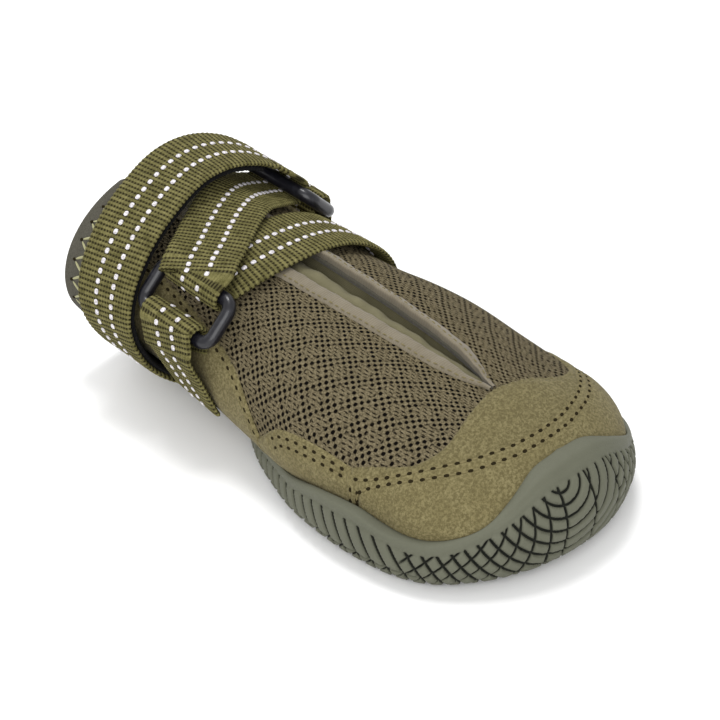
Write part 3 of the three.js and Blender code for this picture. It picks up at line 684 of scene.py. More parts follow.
def build_upper():
    toe = TOE_Y + (BALL_Y - TOE_Y) * (1 - np.cos(np.linspace(0.02, 1, 28, endpoint=False) * np.pi / 2))
    rest = np.linspace(BALL_Y, SHAFT_END, 109)
    y = np.concatenate([toe, rest])
    for end in (FOOTBED_START, FOOTBED_END, SLIT_START):
        y[np.argmin(np.abs(y - end))] = end
    angles = upper_columns(y)
    rows, columns = angles.shape
    half = columns // 2
    places = np.repeat(y[:, None], columns, 1)
    outside = skin(places, angles, MESH_SINK + creases(places, np.where(angles < -90, angles + 360, angles)))
    inside = skin(places, angles, -WALL)
    j = np.arange(columns)
    under = (j < 6) | (j >= columns - 6)
    top = (j >= half - 6) & (j < half + 6)
    faces = grid_faces(rows, columns, wrap=True).reshape(rows - 1, columns, 4)
    in_foot = (y[:-1] >= FOOTBED_START - 0.01) & (y[1:] <= FOOTBED_END + 0.01)
    in_slit = y[:-1] >= SLIT_START - 0.01
    keep = ~((in_foot[:, None] & under[None, :]) | (in_slit[:, None] & top[None, :]))
    outer = faces[keep]
    shift = rows * columns
    inner = outer[:, ::-1] + shift
    rims = []
    kept = np.zeros((rows + 1, columns), bool)
    kept[1:rows] = keep
    for i in range(1, rows):
        for k in np.where(kept[i])[0]:
            a, b, c, d = faces[i - 1, k]
            if not kept[i - 1, k]:
                rims.append([b, a, a + shift, b + shift])
            if not kept[i + 1, k]:
                rims.append([d, c, c + shift, d + shift])
            if not kept[i, (k - 1) % columns]:
                rims.append([a, d, d + shift, a + shift])
            if not kept[i, (k + 1) % columns]:
                rims.append([c, b, b + shift, c + shift])
    degrees = np.where(angles < -90, angles + 360, angles)
    uv = np.stack([(degrees - 90) * ROUND_IT, places], -1).reshape(-1, 2)
    points = np.concatenate([outside.reshape(-1, 3), inside.reshape(-1, 3)])
    all_faces = np.concatenate([outer, inner, np.array(rims)])[:, ::-1]
    # The grid's points in the openings carry no face, so they are left out.
    used, corners = np.unique(all_faces, return_inverse=True)
    piece = make_piece(
        "upper_body",
        points[used],
        corners.reshape(-1, 4),
        MESH,
        np.vstack([uv, uv])[used],
        hides=["upper"],
    )
    piece.data.materials.append(LINING)
    kinds = np.zeros(len(all_faces), np.int32)
    kinds[len(outer) :] = 1
    piece.data.polygons.foreach_set("material_index", kinds)
    return piece


# ---- panels sewn on the upper -----------------------------------------------------------------------------------


def flat(line):
    """Unrolls a line of (y, degrees) to millimetres."""
    line = np.asarray(line, float)
    return np.stack([line[:, 0], (line[:, 1] - 90) * ROUND_IT], -1)


def mirrored(line):
    line = np.asarray(line, float)
    return np.stack([line[:, 0], 180 - line[:, 1]], -1)


def nearest(line, points):
    """Distance from each point to a line, and the nearest point of the line."""
    best = np.full(len(points), np.inf)
    near = np.zeros_like(points)
    for p, q in zip(line[:-1], line[1:]):
        d = q - p
        square = d @ d
        if square < 1e-12:
            continue
        t = np.clip(((points - p) @ d) / square, 0, 1)
        c = p + t[:, None] * d
        distance = np.linalg.norm(points - c, axis=1)
        closer = distance < best
        best[closer] = distance[closer]
        near[closer] = c[closer]
    return best, near


def is_inside(outline, points):
    inside = np.zeros(len(points), bool)
    x, y = points[:, 0], points[:, 1]
    for (x1, y1), (x2, y2) in zip(outline[:-1], outline[1:]):
        if y1 == y2:
            continue
        crosses = (y1 > y) != (y2 > y)
        inside ^= crosses & (x < (x2 - x1) * (y - y1) / (y2 - y1) + x1)
    return inside


def build_panel(name, outline, thick, seams=(), finish=SUEDE, base=MESH_SINK, cell=0.5, hides=()):
    """A cloth panel on the skin inside an outline, with a rolled edge and a trough along each seam."""
    edge = flat(outline)
    edge = np.vstack([edge, edge[:1]])
    low = edge.min(0) - cell
    high = edge.max(0) + cell
    a = np.arange(low[0], high[0] + cell, cell)
    b = np.arange(low[1], high[1] + cell, cell)
    grid = np.stack(np.meshgrid(a, b, indexing="ij"), -1).reshape(-1, 2)
    distance, near = nearest(edge, grid)
    signed = np.where(is_inside(edge, grid), distance, -distance)
    snapped = np.abs(signed) < cell * 0.62
    grid[snapped] = near[snapped]
    signed[snapped] = 0
    quads = grid_faces(len(a), len(b))
    good = signed[quads] >= 0
    count = good.sum(1)
    faces = [list(q) for q in quads[(count == 4) & (signed[quads].max(1) > 0)]]
    for q, ok in zip(quads[count == 3], good[count == 3]):
        corner = [k for k, fine in zip(q, ok) if fine]
        if signed[corner].max() > 0 or True:
            faces.append(corner)
    roll = 0.55
    rise = thick * np.sqrt(np.maximum(1 - (1 - np.clip(signed / roll, 0, 1)) ** 2, 0))
    for seam in seams:
        away, _ = nearest(flat(seam), grid)
        rise -= 0.30 * np.exp(-((away / 0.75) ** 2))
    y = grid[:, 0]
    degrees = grid[:, 1] / ROUND_IT + 90
    points = skin(np.maximum(y, TOE_Y + 0.05), degrees, base + rise + creases(y, degrees))
    used = np.unique(np.concatenate([np.asarray(f) for f in faces]))
    order = np.full(len(points), -1)
    order[used] = np.arange(len(used))
    faces = [[int(order[k]) for k in face][::-1] for face in faces]
    return make_piece(name, points[used], faces, finish, grid[used][:, ::-1], hides=hides)


TOE_EDGE = [
    (4.3, 171),
    (0.6, 168),
    (-3.5, 165),
    (-8.6, 160.5),
    (-11.2, 154),
    (-12.2, 147),
    (-11.8, 137),
    (-11.0, 125),
    (-9.9, 107),
    (-9.4, 98),
    (-9.2, 90),
]
CAP_ROW_UPPER = [
    (3.3, 174),
    (0.9, 173),
    (-4.9, 168),
    (-12.8, 158),
    (-18.7, 146),
    (-22.1, 127),
    (-23.2, 105),
    (-23.4, 90),
]
CAP_ROW_LOWER = [
    (1.4, 184),
    (0.2, 177.5),
    (-5.4, 170.5),
    (-14.0, 161),
    (-20.3, 150.5),
    (-24.0, 131),
    (-25.1, 108),
    (-25.3, 90),
]
SIDE_EDGE = [
    (4.3, 171),
    (13.8, 170.5),
    (22.1, 171.5),
    (27.7, 174),
    (31.5, 179),
    (34.2, 184),
    (35.6, 186),
]
REAR_EDGE = [
    (35.6, 186),
    (37.2, 182),
    (38.8, 178.5),
    (42.8, 171),
    (46.3, 167),
    (50.6, 163.5),
    (57, 159),
    (70, 152),
    (85, 147),
    (98.5, 144),
]
SIDE_ROW_UPPER = [(5.0, 172.8), (13.6, 172.6), (21.7, 174), (27.0, 176.4), (30.5, 181)]
SIDE_ROW_LOWER = [(5.0, 175.4), (13.3, 175.6), (21.6, 177.3), (26.0, 179.6), (29.4, 184.5)]


def both_sides(line):
    """A line from the right side over the middle to the left side."""
    curve = smooth_line(line)
    return np.vstack([curve, mirrored(curve)[-2::-1]])


def shifted(line, along):
    """A line moved towards the shaft and up from the sole."""
    line = np.asarray(line, float)
    out = line.copy()
    step = np.gradient(flat(line), axis=0)
    step /= np.maximum(np.linalg.norm(step, axis=1, keepdims=True), 1e-9)
    out[:, 0] += step[:, 1] * -along
    out[:, 1] += step[:, 0] * along / ROUND_IT
    return out


def build_panels():
    low_side = 232
    toe_edge = both_sides(TOE_EDGE)
    row_upper = both_sides(CAP_ROW_UPPER)
    row_lower = both_sides(CAP_ROW_LOWER)
    cap_edge = shifted(row_upper, 1.2)
    if cap_edge[len(cap_edge) // 2, 0] < row_upper[len(row_upper) // 2, 0]:
        cap_edge = shifted(row_upper, -1.2)
    # The vamp lies between the mesh and the toe cap, and runs on under the cap.
    under_cap = row_lower.copy()
    vamp = np.vstack([toe_edge, under_cap[::-1]])
    top_row = shifted(toe_edge, 1.0)
    if top_row[len(top_row) // 2, 0] > toe_edge[len(toe_edge) // 2, 0]:
        top_row = shifted(toe_edge, -1.0)
    middle = (np.abs(top_row[:, 1] - 90) < 62)
    vamp_row = top_row[middle]
    build_panel("vamp", vamp, 0.62, [vamp_row], SUEDE_VAMP)
    # The toe cap: its rear edges stand on the sides, the rest of it runs down inside the cup.
    front = TOE_Y + 0.3
    right_seam = smooth_line([(4.4, 172), (4.2, 180), (4.2, low_side)])
    tip = np.array([(front, 180 - low_side), (front, low_side)])
    cap = np.vstack([cap_edge, mirrored(right_seam), tip, right_seam[::-1]])
    seam_rows = []
    for along in (2.9, 0.9):
        line = smooth_line([(along, 176), (along + 0.2, 186), (along + 0.3, 196)])
        seam_rows += [line, mirrored(line)]
    build_panel("toe_cap", cap, 0.95, [row_upper, row_lower, *seam_rows])
    side_edge = smooth_line(SIDE_EDGE)
    rear_edge = smooth_line(REAR_EDGE)
    side_rows = [smooth_line(SIDE_ROW_UPPER), smooth_line(SIDE_ROW_LOWER)]
    side = np.vstack([side_edge, smooth_line([(35.6, 186), (37.5, 195), (38, 226)])[1:], [(3.4, 226), (3.4, 172)]])
    rear = np.vstack(
        [
            smooth_line([(34.6, 226), (34.8, 196), (35.6, 186)])[:-1],
            rear_edge,
            [(98.8, 269.4), (FOOTBED_END + 1, 269.4), (FOOTBED_END + 0.5, 226)],
        ]
    )
    rear_row = shifted(rear_edge, 1.3)
    if rear_row[len(rear_row) // 2, 1] < rear_edge[len(rear_edge) // 2, 1]:
        rear_row = shifted(rear_edge, -1.3)
    for hand, turn in (("right", lambda line: line), ("left", mirrored)):
        build_panel(f"side_panel_{hand}", turn(side), 0.75, [turn(row) for row in side_rows])
        build_panel(f"heel_panel_{hand}", turn(rear), 0.9, [turn(rear_row)])
    rows = [(row_upper, 0.95), (row_lower, 0.95)]
    rows += [(line, 0.95) for line in seam_rows]
    rows += [(turn, 0.75) for row in side_rows for turn in (row, mirrored(row))]
    rows += [(rear_row, 0.9), (mirrored(rear_row), 0.9)]
    sew(rows)


def sew(rows):
    """Lock stitches along rows: painted shade in each pit where the thread goes down, and a short thread between the
    pits.
    """
    pitch = 2.7
    pits = [[], [], []]
    threads = [[], [], []]
    for row, thick in rows:
        path = skin(row[:, 0], row[:, 1], MESH_SINK + thick - 0.28 + creases(row[:, 0], row[:, 1]))
        lengths = arc_lengths(path)
        count = int(lengths[-1] / pitch)
        places = (np.arange(count) + 0.5) * lengths[-1] / max(count, 1)
        for bag, shift in ((pits, 0.0), (threads, pitch / 2)):
            where = places + shift
            where = where[where < lengths[-1] - 0.4]
            at = resample(path, where, lengths)
            along = unit(resample(path, where + 0.4, lengths) - resample(path, where - 0.4, lengths))
            spots = resample(row, where, lengths)
            bag[0].append(at)
            bag[1].append(along)
            bag[2].append(skin_out(spots[:, 0], spots[:, 1]))
    template, faces = bead(3, 8)
    # The pit beads are near black: painted shade of the needle holes.
    for name, bag, finish, sizes in (
        ("stitch_pit_shade", pits, PIT_SHADE, (0.66, 0.46, 0.19)),
        ("stitches", threads, STITCHES, (0.80, 0.29, 0.24)),
    ):
        at, along, out = (np.concatenate(part) for part in bag)
        points, all_faces = copies(template, faces, at, along, out, sizes)
        make_piece(name, points, all_faces, finish)


# ---- slit: edge tapes and gusset ----------------------------------------------------------------------------------


def strip(name, y, across, lift, finish, thick=0.0, hides=()):
    """A strip along the slit: across and lift give x and height over the skin for each place and column."""
    rows, columns = across.shape
    places = np.repeat(y[:, None], columns, 1)
    angle = angle_at_half(places, np.abs(across), 90, 0)
    angle = np.where(across < 0, 180 - angle, angle)
    points = skin(places, angle, 0.0)
    points[..., 0] = across
    points[..., 2] += lift
    uv = np.stack([across, places], -1)
    if not thick:
        faces = grid_faces(rows, columns)
        if across[0, 0] > across[0, -1]:
            faces = faces[:, ::-1]
        return make_piece(name, points.reshape(-1, 3), faces, finish, uv.reshape(-1, 2), hides=hides)
    below = points.copy()
    below[..., 2] -= thick
    loop = np.concatenate([points, below[:, ::-1]], axis=1)
    loop_uv = np.concatenate([uv, uv[:, ::-1]], axis=1)
    faces = slab_faces(rows, columns)
    return make_piece(
        name, loop.reshape(-1, 3), faces, finish, loop_uv.reshape(-1, 2), hides=hides
    )


def build_slit():
    y = np.linspace(-9.0, SHAFT_END + 0.5, 220)
    start = smoothstep(-9.5, 6.0, y)
    half = slit(y)["half"] * np.clip((y + 11) / 8, 0.35, 1)
    ripple = 0.12 * np.sin(y * 0.55) + 0.08 * np.sin(y * 1.7 + 1)
    # Right-hand tape: flat, rolled over the edge of the slit.
    share = np.array([0, 0.06, 0.2, 0.45, 0.7, 0.86, 0.96, 1.0])
    height = np.array([-0.55, -0.05, 0.15, 0.2, 0.2, 0.1, -0.35, -1.2])
    outer = -(half + 0.5 + 1.7 * start)
    inner = -(half - 0.4 - 1.6 * start)
    across = outer[:, None] + (inner - outer)[:, None] * share
    strip("edge_tape_right", y, across, height + ripple[:, None], TAPE)
    # Left-hand tape: narrower, and curled up off the slit.
    curl = start * (0.75 + 0.35 * np.exp(-(((y - 26) / 20) ** 2)))
    share = np.array([0, 0.08, 0.25, 0.45, 0.65, 0.82, 0.94, 1.0, 0.97, 0.9])
    height = np.array([-0.55, -0.05, 0.25, 0.75, 1.25, 1.55, 1.5, 1.1, 0.3, -1.2])
    outer = half + 0.5 + 2.9 * start
    inner = half - 0.5 + 0.1 * start
    across = outer[:, None] + (inner - outer)[:, None] * share
    lift = np.where(height > 0, height * curl[:, None] + 0.1, height)
    strip("edge_tape_left", y, across, lift + ripple[:, None], TAPE)
    # Gusset: full near the right-hand tape and folded down under the left-hand one.
    t = np.linspace(-1, 1, 41)
    across = t[None, :] * (half + 3.6)[:, None]
    deep = 0.9 + 3.6 * np.exp(-(((t - 0.50) / 0.20) ** 2)) - 0.75 * np.exp(-(((t + 0.10) / 0.26) ** 2))
    # The fold opens past the slit's front end and lies flat again where it is sewn under the collar.
    opened = (smoothstep(-9, 12, y) * (1 - smoothstep(80, 94, y)))[:, None]
    wrinkle = 0.28 * np.sin(y[:, None] * 0.42 + 4 * t) + 0.16 * np.sin(y[:, None] * 0.95 - 6 * t + 1)
    lift = -(1.5 + (deep - 0.4) * opened) + wrinkle * opened * np.exp(-((t / 0.7) ** 4))
    gusset = strip(
        "gusset_cloth", y, across, lift, GUSSET, thick=0.7, hides=["gusset"]
    )
    # Rows of stitches along the tapes.
    rows = []
    for x, h in ((-(half + 1.6 * start), 0.0), (half + 0.5 * start + 0.3, 1.0)):
        angle = angle_at_half(y, np.abs(x), 90, 0)
        angle = np.where(x < 0, 180 - angle, angle)
        rows.append((x, angle, h))
    at, along, out = [], [], []
    for x, angle, h in rows:
        path = skin(y, angle, 0.0)
        path[:, 0] = x
        path[:, 2] += 0.24 + ripple + h * curl * 1.25
        lengths = arc_lengths(path)
        places = np.arange(3.0, lengths[-1] - 2, 1.9)
        at.append(resample(path, places, lengths))
        along.append(unit(resample(path, places + 0.4, lengths) - resample(path, places - 0.4, lengths)))
        out.append(np.repeat([[0.0, 0.0, 1.0]], len(places), 0))
    template, faces = bead(3, 6)
    points, all_faces = copies(
        template, faces, np.concatenate(at), np.concatenate(along), np.concatenate(out), (0.62, 0.2, 0.14)
    )
    make_piece("tape_stitches", points, all_faces, STITCHES)


# ---- collar ----------------------------------------------------------------------------------------------------


def build_collar():
    columns = 240
    degrees = 90 + np.arange(columns) * 360 / columns
    away = np.minimum(np.abs(degrees - 90), np.abs(degrees - 450))
    end = COLLAR_END - NOTCH_DEPTH * np.maximum(0, 1 - away / 22.0)
    start = 97.2
    # share of the way to the rim, height over the skin, and how far the point stands back from the rim
    profile = [(0.0, -0.6), (0.02, 0.15), (0.08, 0.42), (0.3, 0.6), (0.55, 0.62), (0.8, 0.62)]
    rim = [(a, 1.6 * math.cos(a), 1.6 * math.sin(a)) for a in np.linspace(0, math.pi, 9)]
    rings = []
    for share, lift in profile:
        y = start + (end - 1.6 - start) * share
        rings.append(skin(y, degrees, lift + 0.08 * np.sin(degrees * 0.21)))
    for _, out, ahead in rim:
        rings.append(skin(end - 1.6 + ahead, degrees, -1.0 + out))
    for share in (0.7, 0.35, 0.0):
        y = 94 + (end - 1.6 - 94) * share
        rings.append(skin(y, degrees, -2.6))
    points = np.stack(rings)
    band = make_piece(
        "collar_pad",
        points.reshape(-1, 3),
        grid_faces(len(rings), columns, wrap=True)[:, ::-1],
        COLLAR,
        hides=["collar_band"],
    )
    # Zigzag stitch over the seam: short threads that turn at each end.
    steps = 62
    angle = 107 + np.arange(steps + 1) * 326 / steps
    away = np.minimum(angle - 90, 450 - angle)
    y = np.where(np.arange(steps + 1) % 2 == 0, 101.9, 105.9) - NOTCH_DEPTH * np.maximum(0, 1 - away / 22.0)
    corners = skin(y, angle, 0.68)
    middle = (corners[1:] + corners[:-1]) / 2
    along = unit(corners[1:] - corners[:-1])
    out = skin_out((y[1:] + y[:-1]) / 2, (angle[1:] + angle[:-1]) / 2)
    template, faces = bead(5, 8)
    points, all_faces = copies(template, faces, middle, along, out, (1.9, 0.36, 0.28))
    make_piece("collar_zigzag", points, all_faces, ZIGZAG)
    # Near-black beads at the zigzag's turns: painted shade of the needle holes.
    template, faces = bead(3, 6)
    points, all_faces = copies(
        template, faces, corners, np.repeat([[0.0, 1.0, 0.0]], len(corners), 0), skin_out(y, angle), (0.5, 0.45, 0.3)
    )
    make_piece("collar_pit_shade", points, all_faces, PIT_SHADE)


# ---- sole ----------------------------------------------------------------------------------------------------------


def skin_reach(turn, z):
    """How far from the sole's centre the skin is, at a turn and a height."""
    near = np.zeros(np.broadcast(turn, z).shape)
    far = near + 62.0
    angle = np.radians(turn)
    for _ in range(24):
        r = (near + far) / 2
        x = r * np.sin(angle)
        y = SOLE_CENTRE_Y - r * np.cos(angle)
        s = section(np.maximum(y, TOE_Y + 1e-3))
        up = z - s["waist"]
        reach = np.where(up > 0, s["top"] - s["waist"], s["waist"] - s["under"])
        power = np.where(up > 0, s["square_top"], s["square_under"])
        value = np.abs(x / np.maximum(s["half_width"], 0.01)) ** power
        value = value + np.abs(up / np.maximum(reach, 0.01)) ** power
        inside = (value < 1) & (y > TOE_Y)
        near = np.where(inside, r, near)
        far = np.where(inside, far, r)
    return (near + far) / 2


GROOVE_HALF = 0.42
GROOVE_DEPTH = 0.7
ARC_PITCH = 2.9
SLANT_PITCH = 4.3
FAR_LINE = 10.0
ARC_GROOVE_Y = -52.0
ARC_GROOVE_REACHES = (24, 34, 44, 66, 76, 98, 106)
ARC_GROOVE_SPREAD = 68.0
HEEL_TURN = 147.0


def grooves(phase, pitch, half=GROOVE_HALF):
    """1 in the grooves that lie at every whole number of the phase, 0 on the lugs. pitch is the lugs' size."""
    away = np.abs(phase - np.round(phase)) * pitch
    return 1 - smoothstep(half * 0.4, half * 1.4, away)


def tread(points, turn, along, down, band):
    """The tread at each point: how deep it is cut, and the phases of its two sets of fine lines."""
    x, y, z = points[..., 0], points[..., 1], points[..., 2]
    turn = np.minimum(turn, 360 - turn)
    # Rings round a point high on the toe, which run on back along the sides as slats.
    hand = np.where((x > 0) & (along > FAR_LINE), 1.0, -1.0)
    rings = np.sqrt((x - hand * 6.0) ** 2 + (y + 34.0) ** 2 + (z - 23.4) ** 2) / ARC_PITCH
    # Slanted lines across them: upright at the toe, leaning more towards the ball.
    side = along * np.where(x > 0, -1.0, 1.0)
    lean = smoothstep(9, 32, along) * np.sign(side)
    slants = (side + lean * (z - 11.0) + FAR_LINE) / SLANT_PITCH
    # At the toe every second one of them is left out.
    spared = np.exp(-(((slants - 1) / 0.3) ** 6)) + np.exp(-(((slants - 3) / 0.3) ** 6))
    crossed = (1 - smoothstep(44, 46, along)) * (1 - spared)
    low = 1 - smoothstep(4.0, 5.2, z + 0.25 * np.sin(along * 1.3))
    crossed = np.maximum(crossed, low * smoothstep(44, 46, along))
    back = smoothstep(HEEL_TURN - 1, HEEL_TURN + 1, turn)
    rings = np.where(back > 0.5, (along + z * 1.1) / 4.6, rings)
    slants = np.where(back > 0.5, (along - z * 1.1) / 4.6, slants)
    crossed = np.maximum(crossed, back)
    wall = np.maximum(grooves(rings, ARC_PITCH), grooves(slants, SLANT_PITCH) * crossed)
    level = grooves((z - 4.3) / 50.0, 50.0) * smoothstep(40, 42, along) * (1 - back)
    wall = np.maximum(wall, level)
    away = np.hypot(x, y - ARC_GROOVE_Y)
    offset = np.min([np.abs(away - at) for at in ARC_GROOVE_REACHES], axis=0)
    spread = np.degrees(np.arctan2(np.abs(x), y - ARC_GROOVE_Y))
    ground = (1 - smoothstep(0.7, 1.3, offset)) * (spread < ARC_GROOVE_SPREAD)
    reach = np.hypot(x, y - SOLE_CENTRE_Y)
    edge = sole_edge(turn)["reach"]
    on_ground = smoothstep(-4.5, -5.5, reach - edge) * (z < 3.5)
    below = smoothstep(band, band + 0.9, down)
    # groove sets how deep the tread is cut and also the painted shade in the rubber; the lug values place the painted
    # shade of the fine lines.
    return {
        "groove": (wall * (1 - on_ground) + ground * on_ground * 2) * below,
        "lug_arcs": rings,
        "lug_slants": slants,
        "lug_crossed": crossed,
        "lug_wall": below * (1 - on_ground),
    }


def build_sole():
    columns = 780
    turn = np.arange(columns) * 360 / columns
    e = sole_edge(np.minimum(turn, 360 - turn))
    reach, lip, flare, lean, spring = (e[k] for k in ("reach", "lip", "flare", "lean", "spring"))

    def height(share):
        return spring + (lip - spring) * share

    top = reach + flare - lean
    inner = skin_reach(turn, lip - 0.5) + 0.15
    inner = np.minimum(inner, top - 0.9)
    controls = [
        (inner, lip - 0.9),
        (inner + 0.25, lip - 0.15),
        (inner * 0.5 + top * 0.5, lip + 0.0),
        (top - 0.1, lip - 0.35),
        (top + lean * 0.15, height(0.93)),
        (top + lean * 0.4, height(0.87)),
        (reach + flare - lean * 0.22, height(0.72)),
        (reach + flare, height(0.5)),
        (reach + flare * 0.75, height(0.28)),
        (reach + 0.3, spring + 1.2),
        (reach - 1.4, spring * 0.9),
        (reach - 4.0, spring * 0.6),
        (reach * 0.8, spring * 0.12),
        (reach * 0.55, spring * 0.0),
        (reach * 0.25, spring * 0.0),
        (reach * 0.0, spring * 0.0),
    ]
    lines = np.stack([np.stack([np.broadcast_to(r, (columns,)), z], -1) for r, z in controls])
    rows = 120
    wall_rows = 76
    profile = np.empty((rows, columns, 2))
    down = np.empty((rows, columns))
    for j in range(columns):
        curve = smooth_line(lines[:, j], 0.35)
        curve[:, 1] = np.maximum(curve[:, 1], 0)
        lengths = arc_lengths(curve)
        lip_at = lengths[np.argmax(curve[:, 0] > lines[3, j, 0] - 0.25)]
        ground_at = lengths[np.argmin(np.abs(curve[:, 0] - lines[11, j, 0]) + 9 * (lengths < lip_at + 1))] + 1.5
        wall = np.linspace(0, ground_at, wall_rows, endpoint=False)
        places = np.concatenate([wall, np.linspace(ground_at, lengths[-1], rows - wall_rows)])
        profile[:, j] = resample(curve, places, lengths)
        down[:, j] = places - lip_at
    angle = np.radians(turn)[None, :]
    x = profile[..., 0] * np.sin(angle)
    y = SOLE_CENTRE_Y - profile[..., 0] * np.cos(angle)
    points = np.stack([x, y, profile[..., 1]], -1)
    outline = np.stack([reach * np.sin(angle[0]), -reach * np.cos(angle[0])], -1)
    half = arc_lengths(outline[: columns // 2 + 1])
    along = np.concatenate([half, half[-2:0:-1]])[:columns]
    along = np.repeat(along[None, :], rows, 0)
    near_toe = np.exp(-((np.minimum(turn, 360 - turn) / 30) ** 2))
    band = (1.9 + 1.5 * near_toe)[None, :]
    lugs = tread(points, np.repeat(turn[None, :], rows, 0), along, down, band)
    across_rows = np.gradient(points, axis=0)
    across_columns = (np.roll(points, -1, axis=1) - np.roll(points, 1, axis=1)) / 2
    out = unit(np.cross(across_rows, across_columns))
    if (out[20, :, :2] * (points[20, :, :2] - [0, SOLE_CENTRE_Y])).sum() < 0:
        out = -out
    # A shallow trough sets the lip off from the lugs.
    trough = np.exp(-(((down - band) / 0.55) ** 2)) * 0.35
    move = GROOVE_DEPTH * lugs["groove"] + trough
    points = points - out * move[..., None]
    arch = 90.0 - np.sqrt(np.maximum(90.0**2 - (points[..., 1] - 32.0) ** 2, 0))
    floor = np.maximum(0.9 - arch, 0)
    points[..., 2] = np.maximum(points[..., 2], floor)
    # Inside: down the wall that the upper stands against, and over the floor.
    inside = []
    for share in (0.75, 0.4, 0.12):
        z = 4.0 + (lip - 4.9) * share
        r = np.minimum(skin_reach(turn, np.maximum(z, 5.2)) + 0.05, inner + 3)
        inside.append(np.stack([r * np.sin(angle[0]), SOLE_CENTRE_Y - r * np.cos(angle[0]), z], -1))
    for share in (0.7, 0.35, 0.0):
        r = share * reach
        z = np.full(columns, 4.1)
        inside.append(np.stack([r * np.sin(angle[0]), SOLE_CENTRE_Y - r * np.cos(angle[0]), z], -1))
    rings = np.concatenate([np.stack(inside[::-1]), points])
    plain = np.zeros((len(inside), columns))
    values = {label: np.concatenate([plain, numbers]).ravel() for label, numbers in lugs.items()}
    faces = grid_faces(len(rings), columns, wrap=True)[:, ::-1]
    make_piece(
        "cup_sole",
        rings.reshape(-1, 3),
        faces,
        RUBBER,
        values=values,
        hides=["outsole"],
    )


def build_insole():
    y = np.linspace(FOOTBED_START + 8.4, FOOTBED_END - 0.3, 90)
    t = np.linspace(-1, 1, 61)
    half = footbed(y)["half"] - 4.2
    across = t[None, :] * half[:, None]
    places = np.repeat(y[:, None], len(t), 1)
    angle = angle_at_half(places, np.abs(across), -90, 0)
    points = skin(places, angle, 0.0)
    points[..., 0] = across
    edge = np.minimum(1 - np.abs(t)[None, :] ** 6, 1 - (2 * (places - y[0]) / (y[-1] - y[0]) - 1) ** 12)
    top = points.copy()
    top[..., 2] += 0.3 + 3.0 * np.sqrt(np.clip(edge, 0.001, 1))
    under = points.copy()
    under[..., 2] += 0.3
    loop = np.concatenate([top, under[:, ::-1]], axis=1)
    faces = slab_faces(len(y), len(t))
    pad = make_piece("insole_pad", loop.reshape(-1, 3), faces, LINING, hides=["insole"])


# ---- straps and loops ----------------------------------------------------------------------------------------------


def loop_frame(y, degrees):
    at = skin(y, degrees, LOOP_LIFT)
    long = unit(skin(y + 8, degrees, LOOP_LIFT) - skin(y - 8, degrees, LOOP_LIFT))
    across = skin(y, degrees + 5, LOOP_LIFT) - skin(y, degrees - 5, LOOP_LIFT)
    around = unit(across - long * (across @ long))
    return {"at": at, "long": long, "around": around, "out": np.cross(long, around)}


LOOP_RIGHT = loop_frame(64.8, 150.0)
LOOP_LEFT = loop_frame(85.2, 31.0)
NEAR_SKIN = 1.35
OVER_ONE = 3.4
TURN_RADIUS = LOOP_BAR / 2 + 0.45 + WEBBING_THICK / 2


def over_skin(stations):
    """Cuts of a stretch on or over the shaft, through stations of degrees, y and height."""
    line = smooth_line(stations, 0.6)
    at = skin(line[:, 1], line[:, 0], line[:, 2])
    side = skin(line[:, 1] + 2, line[:, 0], line[:, 2]) - skin(line[:, 1] - 2, line[:, 0], line[:, 2])
    return np.concatenate([at, unit(side)], axis=1)


def round_bar(loop, which, to=90.0):
    """Cuts of a turn round one long bar of a loop."""
    bar = loop["at"] + loop["around"] * which * (LOOP_DEPTH - LOOP_BAR) / 2
    angle = np.radians(np.linspace(-85.0, to, 24))[:, None]
    at = bar - loop["around"] * which * TURN_RADIUS * np.cos(angle) + loop["out"] * TURN_RADIUS * np.sin(angle)
    return np.concatenate([at, np.repeat(loop["long"][None, :], len(at), 0)], axis=1)


def ribbon(name, cuts, width, thick, finish, hides=(), ribbed=True, step=0.27, fuzz=0.0):
    """A webbing through its cuts; returns its even cuts, their frames and their lengths."""
    lengths = arc_lengths(cuts[:, :3])
    total = lengths[-1]
    places = np.linspace(0, total, max(int(total / step), 4))
    even = resample(cuts, places, lengths)
    for _ in range(3):
        even[1:-1] = (even[:-2] + 2 * even[1:-1] + even[2:]) / 4
    for _ in range(30):
        even[1:-1, 3:] = (even[:-2, 3:] + 2 * even[1:-1, 3:] + even[2:, 3:]) / 4
    at = even[:, :3]
    along = unit(np.gradient(at, axis=0))
    across = even[:, 3:]
    across = unit(across - along * (across * along).sum(1, keepdims=True))
    out = np.cross(across, along)
    s = arc_lengths(at)
    count = 22
    w = np.sin(np.linspace(-1, 1, count) * np.pi / 2)
    w = w * 0.35 + np.linspace(-1, 1, count) * 0.65
    round_edge = np.sqrt(np.clip(1 - np.abs(w) ** 14, 0.01, 1))
    rib = 0.5 + 0.5 * np.cos(2 * np.pi * s / RIB_PITCH) if ribbed else np.ones(len(s))
    half = width / 2 - 0.1 + 0.16 * rib
    tops = thick / 2 * round_edge[None, :] - 0.17 * (1 - rib)[:, None] * round_edge[None, :]
    if fuzz:
        tops = tops + fuzz * rng.random(tops.shape) * round_edge[None, :]
    upper = at[:, None] + across[:, None] * (w[None, :] * half[:, None])[..., None] + out[:, None] * tops[..., None]
    lower = at[:, None] + across[:, None] * (w[None, :] * half[:, None])[..., None] - out[:, None] * tops[..., None]
    loop = np.concatenate([upper, lower[:, ::-1]], axis=1)
    wide = np.concatenate([w, w[::-1]]) * width / 2
    uv = np.stack(
        [np.repeat(s[:, None], 2 * count, 1), np.repeat(wide[None, :], len(s), 0)], -1
    )
    faces = grid_faces(len(s), 2 * count, wrap=True).tolist()
    faces.append(list(range(2 * count))[::-1])
    faces.append([(len(s) - 1) * 2 * count + k for k in range(2 * count)])
    piece = make_piece(name, loop.reshape(-1, 3), faces, finish, uv.reshape(-1, 2), hides=hides)
    return {"at": at, "along": along, "across": across, "out": out, "s": s, "thick": thick, "piece": piece}


